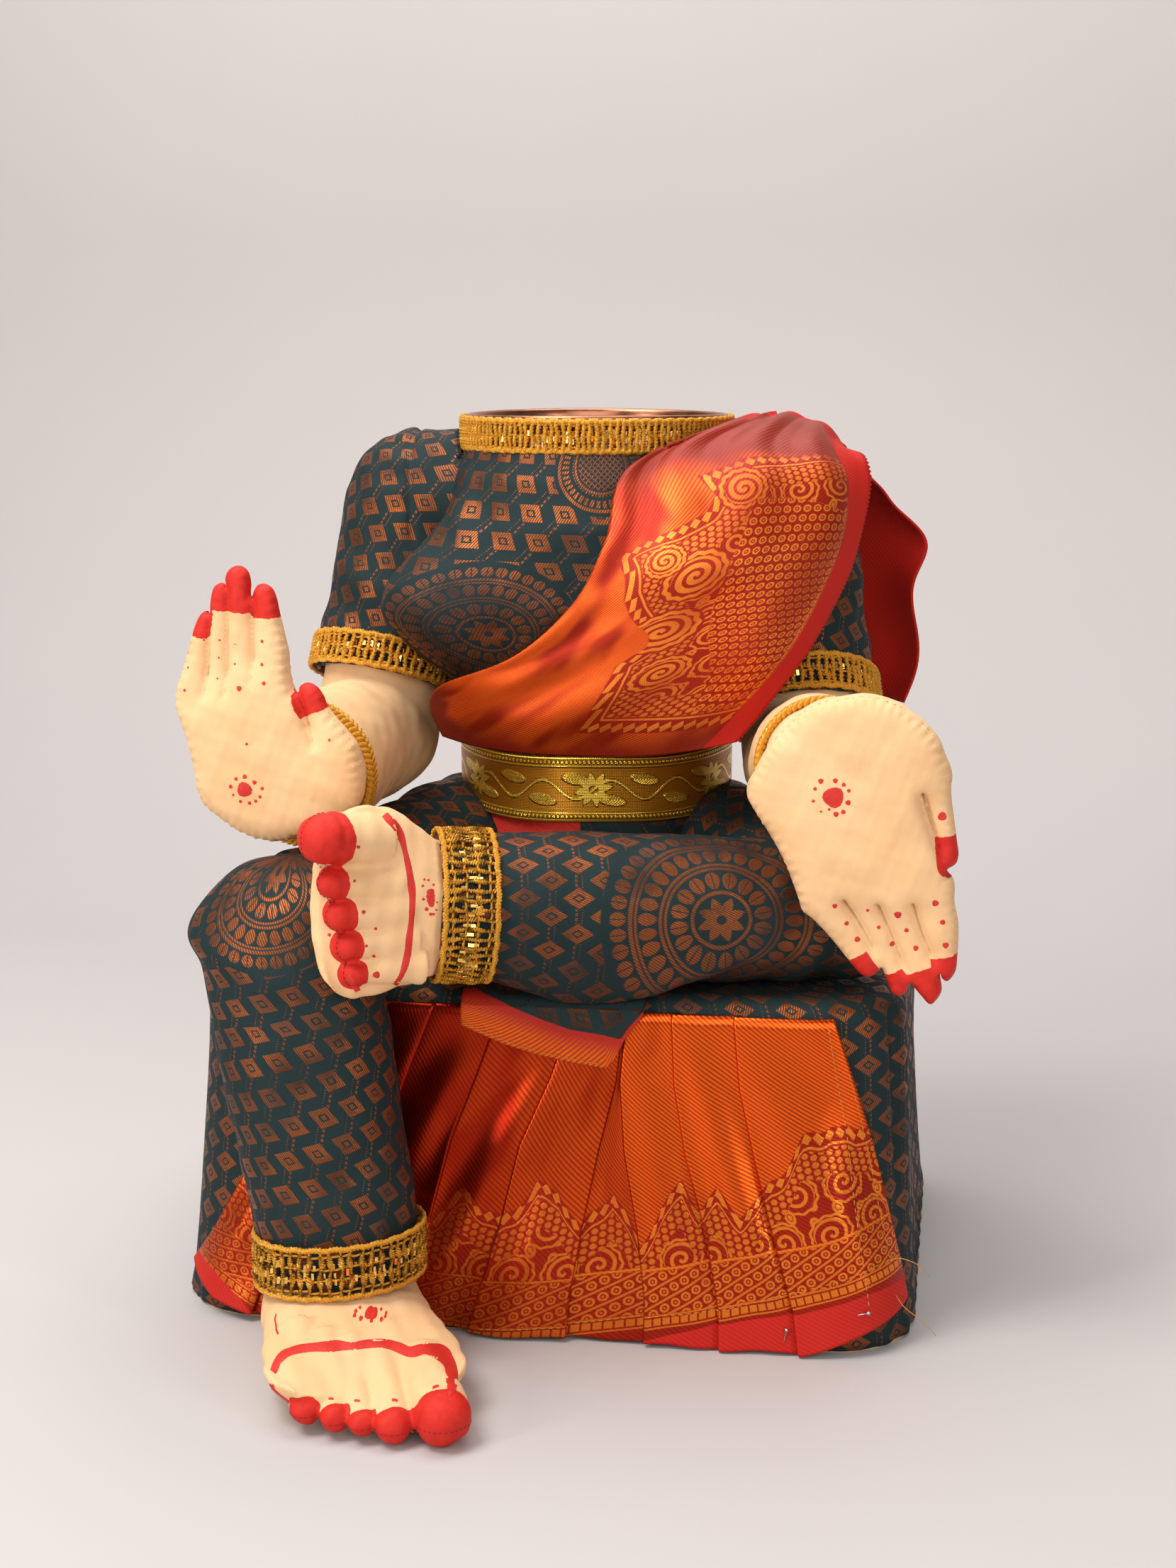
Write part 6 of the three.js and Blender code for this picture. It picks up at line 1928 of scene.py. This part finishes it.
def flap():
    edge_y = -SEAT_D / 2 + EDGE
    cols, over, down = 70, 26, 34
    x = np.linspace(-35, 41.5, cols)
    hang = edge_y - 12.8, 142.0
    top = spline([(edge_y + 26, 148.1), (edge_y + 6, 148.2), (edge_y - 2, 147.8), (edge_y - 9, 145.6), hang], over)
    low, green = (np.interp(x, *zip(*line)) for line in (CLOTH_END, GREEN_END))
    under = tree_of(SKIRT)
    rows = [np.stack([x, np.full(cols, y), np.full(cols, z)], -1) for y, z in top]
    for s in np.linspace(0, 1, down)[1:]:
        z = mix(np.full(cols, hang[1]), np.minimum(low, 141.8), s)
        y = []
        for a, h in zip(x, z):
            hit, _ = strike(under, (a, -300, h), INWARD)
            skirt_y = edge_y - 12 if hit is None else hit[1]
            y.append(min(skirt_y - 0.75, mix(hang[0], edge_y - 13.6, min(s * 3, 1))))
        rows.append(np.stack([x, np.array(y), z], -1))
    P = np.array(rows)
    length = lengths(P[:, cols // 2])
    uv = np.stack(np.meshgrid(length, x + 35, indexing="ij")[::-1], -1)
    # Painted shade: the flap's copper is painted at 0.55 of its tone, for the shade it lies in.
    mat = green_brocade("flap_brocade", 0.6, bright=0.55, hem=True)
    o = grid("front_flap_cloth", P, mat, uv, attributes={"hem": green[None] - P[..., 2]})
    thick(o, 0.7, 0, even=False)
    ride(o, BODY, "front_flap", slot="green_brocade")
    flat = (sheet_area(P) / length[-1] * MM, length[-1] * MM)
    tree, run = tree_of(o), []
    for a in np.linspace(-34, 25, 60):
        hit, _ = strike(tree, (a, -300, np.interp(a, *zip(*CLOTH_END)) + 1.6), INWARD)
        if hit is not None:
            run.append(hit - arr(0, 0.25, 0))
    stitches("flap_stitches", [run], GILT_THREAD, BODY, "orange_brocade", 0.2, 2.0, 1.2)


flap()


# Drape over the left shoulder, from the front hem over the shoulder to the hem behind.
# Each point is a turn in degrees from the front, a reach as a share, and a height as a share of the torso's.
DRAPE = [
    [(-48, 0.64, 0.425), (-30, 0.62, 0.415), (-10, 0.6, 0.41), (10, 0.62, 0.41), (28, 0.72, 0.42), (43, 0.83, 0.445)],
    [(-49, 0.68, 0.49), (-32, 0.68, 0.48), (-11, 0.67, 0.48), (12, 0.69, 0.49), (33, 0.8, 0.5), (51, 0.88, 0.53)],
    [(-36, 0.74, 0.545), (-18, 0.71, 0.55), (2, 0.69, 0.57), (24, 0.79, 0.59), (44, 0.88, 0.61), (62, 0.92, 0.63)],
    [(-14, 0.72, 0.61), (4, 0.7, 0.65), (22, 0.79, 0.69), (40, 0.88, 0.72), (56, 0.94, 0.74), (69, 0.98, 0.755)],
    [(2, 0.7, 0.71), (16, 0.75, 0.765), (32, 0.86, 0.8), (48, 0.92, 0.83), (62, 0.98, 0.845), (73, 1, 0.85)],
    [(11, 0.68, 0.83), (26, 0.71, 0.88), (41, 0.78, 0.92), (55, 0.85, 0.945), (67, 0.94, 0.95), (77, 1, 0.935)],
    [(19, 0.53, 0.965), (33, 0.55, 0.99), (48, 0.62, 1.01), (60, 0.73, 1.017), (70, 0.84, 1.01), (79, 0.97, 0.985)],
    [(50, 0.51, 1.02), (60, 0.55, 1.045), (69, 0.62, 1.058), (76, 0.7, 1.058), (81, 0.79, 1.043), (86, 0.89, 1.0)],
    [(90, 0.51, 1.045), (92, 0.55, 1.06), (93, 0.62, 1.064), (94, 0.7, 1.06), (94, 0.79, 1.045), (94, 0.885, 1.0)],
    [(126, 0.53, 1.0), (120, 0.58, 1.03), (114, 0.66, 1.035), (109, 0.75, 1.025), (104, 0.85, 0.995),
     (100, 0.95, 0.945)],
    [(150, 0.66, 0.88), (141, 0.68, 0.88), (132, 0.72, 0.88), (122, 0.84, 0.88), (111, 1.03, 0.87), (103, 1.15, 0.84)],
    [(156, 0.68, 0.7), (147, 0.7, 0.7), (137, 0.76, 0.7), (125, 0.88, 0.7), (113, 1.07, 0.7), (104, 1.18, 0.69)],
    [(157, 0.68, 0.47), (148, 0.7, 0.465), (138, 0.76, 0.46), (127, 0.88, 0.46), (115, 1.05, 0.455), (106, 1.15, 0.45)],
]
REACH = 127
# Zones of the border woven in the drape, as places in from its selvedge and along it
RING_ZONE = [(65, 149), (45, 146), (16, 134), (16, 20), (40, 22), (65, 69), (73, 97), (75, 121)]
LEAF_ZONE = [
    (62, 172), (84, 169), (80, 158), (86, 150), (100, 145), (128, 143), (122, 126), (118, 111), (110, 99),
    (103, 90), (94, 80), (90, 69), (98, 55), (94, 42), (80, 12), (-60, 12), (-60, 174),
]
SPIRALS = [(67.5, 156.4, 8.5, 1), (88.7, 116.4, 10.5, -1), (89.0, 79.9, 12.5, -1), (104, 128, 7, 1), (74, 47, 9, -1)]


def drape():
    rows, cols = 230, 90
    lines = spline(np.swapaxes(np.array(DRAPE, float), 0, 1), cols)
    surface = spline(np.swapaxes(lines, 0, 1), rows)
    T, R, H = np.radians(surface[..., 0]), surface[..., 1] * REACH, surface[..., 2] * TORSO_H
    bare = torso_radius(T, np.minimum(H, TORSO_H)) + 2.6
    free = ease((H - TORSO_H + 8) / 16)
    over = R + (np.logaddexp(0, (bare - R) / 1.5) * 1.5) * (1 - free)
    P = around(T, over, H + SEAT_H)
    n = unit(np.cross(np.gradient(P, axis=0), np.gradient(P, axis=1)))
    facing = np.sign(((P - arr(*AXIS, 0)) * n)[..., :2].sum(-1, keepdims=True))
    n = n * np.where(facing == 0, 1, facing)
    i = np.linspace(0, 1, rows + 1)[:, None]
    j = np.linspace(0, 1, cols + 1)[None]
    shoulder = bump(i, 0.55, 0.2)
    folds = 1.3 * np.sin(j * 24 + 2.0 * np.sin(i * 5)) * shoulder * (1 - bump(j, 0.0, 0.05))
    folds = folds + 1.4 * np.sin(j * 15 + 1.0) * ease((i - 0.7) / 0.2)
    folds = folds + 0.5 * ripple(P, 36, 41) * (1 - shoulder)
    P = P + n * np.maximum(folds, -0.7)[..., None]
    # the free edge behind waves
    wavy = 3.0 * np.sin(i * 60) * ease((i - 0.72) / 0.1) * ease((j - 0.75) / 0.25)
    P = P + arr(1, 0.2, 0) * wavy[..., None]
    width = np.cumsum(np.linalg.norm(np.diff(P, axis=1, prepend=P[:, :1]), axis=2), 1)
    U = width[:, -1:] - width  # from the selvedge
    V = np.broadcast_to(lengths(P[:, cols // 2])[:, None], U.shape)
    back = ease((i - 0.6) / 0.02) * 20 - 10
    place = np.stack([U.ravel(), V.ravel()], 1)

    def depth_in(ring):
        ring = np.array(ring, float)
        off, _ = off_line(place, ring, True)
        return np.where(inside_of(place, ring), off, -off).reshape(U.shape)

    # Up to these heights above the drape's foot, the cloth is painted darker as shade where it tucks under. Past 172 mm
    # along, over the shoulder, it is painted duller.
    hem = np.interp(U, (44, 90, 118, 149, 158), (7, 5, 10, 14, 30))
    zones = {
        "selvedge": np.maximum(15 - U, back),
        "rings": depth_in(RING_ZONE),
        "crest": depth_in(LEAF_ZONE),
        "dulled_top_and_painted_shade": np.maximum(V - 172, (hem - V) * (U > 15)) + 3 * ripple(P, 30, 44),
    }
    uv = np.stack([U, V], -1)
    o = grid("shoulder_cloth", P, orange_brocade("drape_brocade", "drape"), uv, attributes=zones)
    thick(o, 1.0, 0)
    # the selvedge is cut in small teeth
    red, pitch, front = 9.0, 1.0, int(rows * 0.62)
    edge, inner = P[:front, -1], P[:front, -4]
    s = lengths(edge)
    at = np.arange(0, s[-1], pitch)
    line = along_line(edge, at, s)
    way = unit(line - along_line(inner, at, s))
    tooth = (np.arange(len(at)) % 2)[:, None] * 1.1
    teeth = np.stack([line - way * 1.2, line + way * 0.1, line + way * (0.1 + tooth)], 1)
    uv = np.stack(np.broadcast_arrays([1.0, 0, 0], at[:, None]), -1)
    reds = {"selvedge": np.full(teeth.shape[:2], red)}
    pink = grid("selvedge_teeth", teeth, orange_brocade("teeth_cloth", "drape"), uv, attributes=reds)
    thick(pink, 0.9, 0, even=False)
    ride(pink, BODY, slot="orange_brocade")
    ride(o, BODY, "shoulder_drape", slot="orange_brocade")
    long = float(V[-1, 0])
    flat = (sheet_area(P) / long * MM, long * MM)


drape()


# Surroundings: a pale cloth sweep, a big soft lamp overhead and fill from the front
def sweep():
    k = Look("backdrop_cloth", Roughness=0.95, Specular_IOR_Level=0.1)
    x, y, z = k.place()
    n = k.noise(k.join(x, y, z), 0.004, 3)
    # Painted light: the sweep is painted lighter up the wall, up to 900 mm high, than on the floor.
    k.colour(n * 0.3 + (z / 900).least(1) * 0.7, (186, 181, 180), (204, 196, 192))
    bend, half, cols = 500, 2600, 40
    turns = np.radians(np.arange(6, 91, 6))
    prof = [(-3000, 0), (200, 0), (bend, 0)]
    prof += [(bend + bend * math.sin(a), bend - bend * math.cos(a)) for a in turns] + [(2 * bend, half)]
    xs = np.linspace(-half, half, cols)
    P = np.array([np.stack([xs, np.full(cols, y), np.full(cols, z)], -1) for y, z in prof])
    grid("backdrop", P, k.m)


def lamp(name, at, size, power, colour=(1, 1, 1)):
    light = bpy.data.lights.new(name, "AREA")
    light.shape, light.size, light.size_y, light.energy, light.color = "RECTANGLE", size[0], size[1], power, colour
    o = link(name, light)
    o.location = at
    o.rotation_mode = "QUATERNION"
    o.rotation_quaternion = (Vector(at) - Vector((0, 0, 0.2))).to_track_quat("Z", "Y")


sweep()
lamp("key", (-0.6, -0.65, 1.45), (0.7, 0.7), 18, (1.0, 0.98, 0.95))
lamp("top", (-0.1, 0.3, 1.7), (1.5, 1.1), 22)
lamp("fill", (0.35, -1.7, 0.95), (1.3, 1.0), 10)
lamp("left_strip", (-0.85, -1.05, 0.4), (0.12, 0.7), 6, (1.0, 0.97, 0.93))
lamp("right_strip", (0.95, -0.85, 0.45), (0.12, 0.7), 3, (1.0, 0.97, 0.93))
world = bpy.data.worlds.new("studio")
bpy.context.scene.world = world
world.use_nodes = True
sky = world.node_tree.nodes["Background"]
sky.inputs[0].default_value = (1.0, 0.99, 0.98, 1)
sky.inputs[1].default_value = 0.15

# The camera stands where the photograph's stood, as fitted to it. Its lens is in pixels of a picture that high.
CAMERA_AT, AZIMUTH, PITCH = (0.1681, -1.0621, 0.413), math.radians(9), math.radians(10.45)
FOCAL_PIXELS, PICTURE_HEIGHT, SENSOR = 3400, 2212, 36
forward = Vector((-math.sin(AZIMUTH) * math.cos(PITCH), math.cos(AZIMUTH) * math.cos(PITCH), -math.sin(PITCH)))
rightward = Vector((math.cos(AZIMUTH), math.sin(AZIMUTH), 0))
camera = bpy.data.cameras.new("camera")
viewer = link("camera", camera)
turn = Matrix((rightward, rightward.cross(forward), -forward)).transposed().to_4x4()
viewer.matrix_world = Matrix.Translation(CAMERA_AT) @ turn
camera.sensor_fit, camera.sensor_width = "AUTO", SENSOR
camera.lens = FOCAL_PIXELS / PICTURE_HEIGHT * SENSOR
bpy.context.scene.camera = viewer
bpy.context.scene.view_settings.view_transform = "Standard"
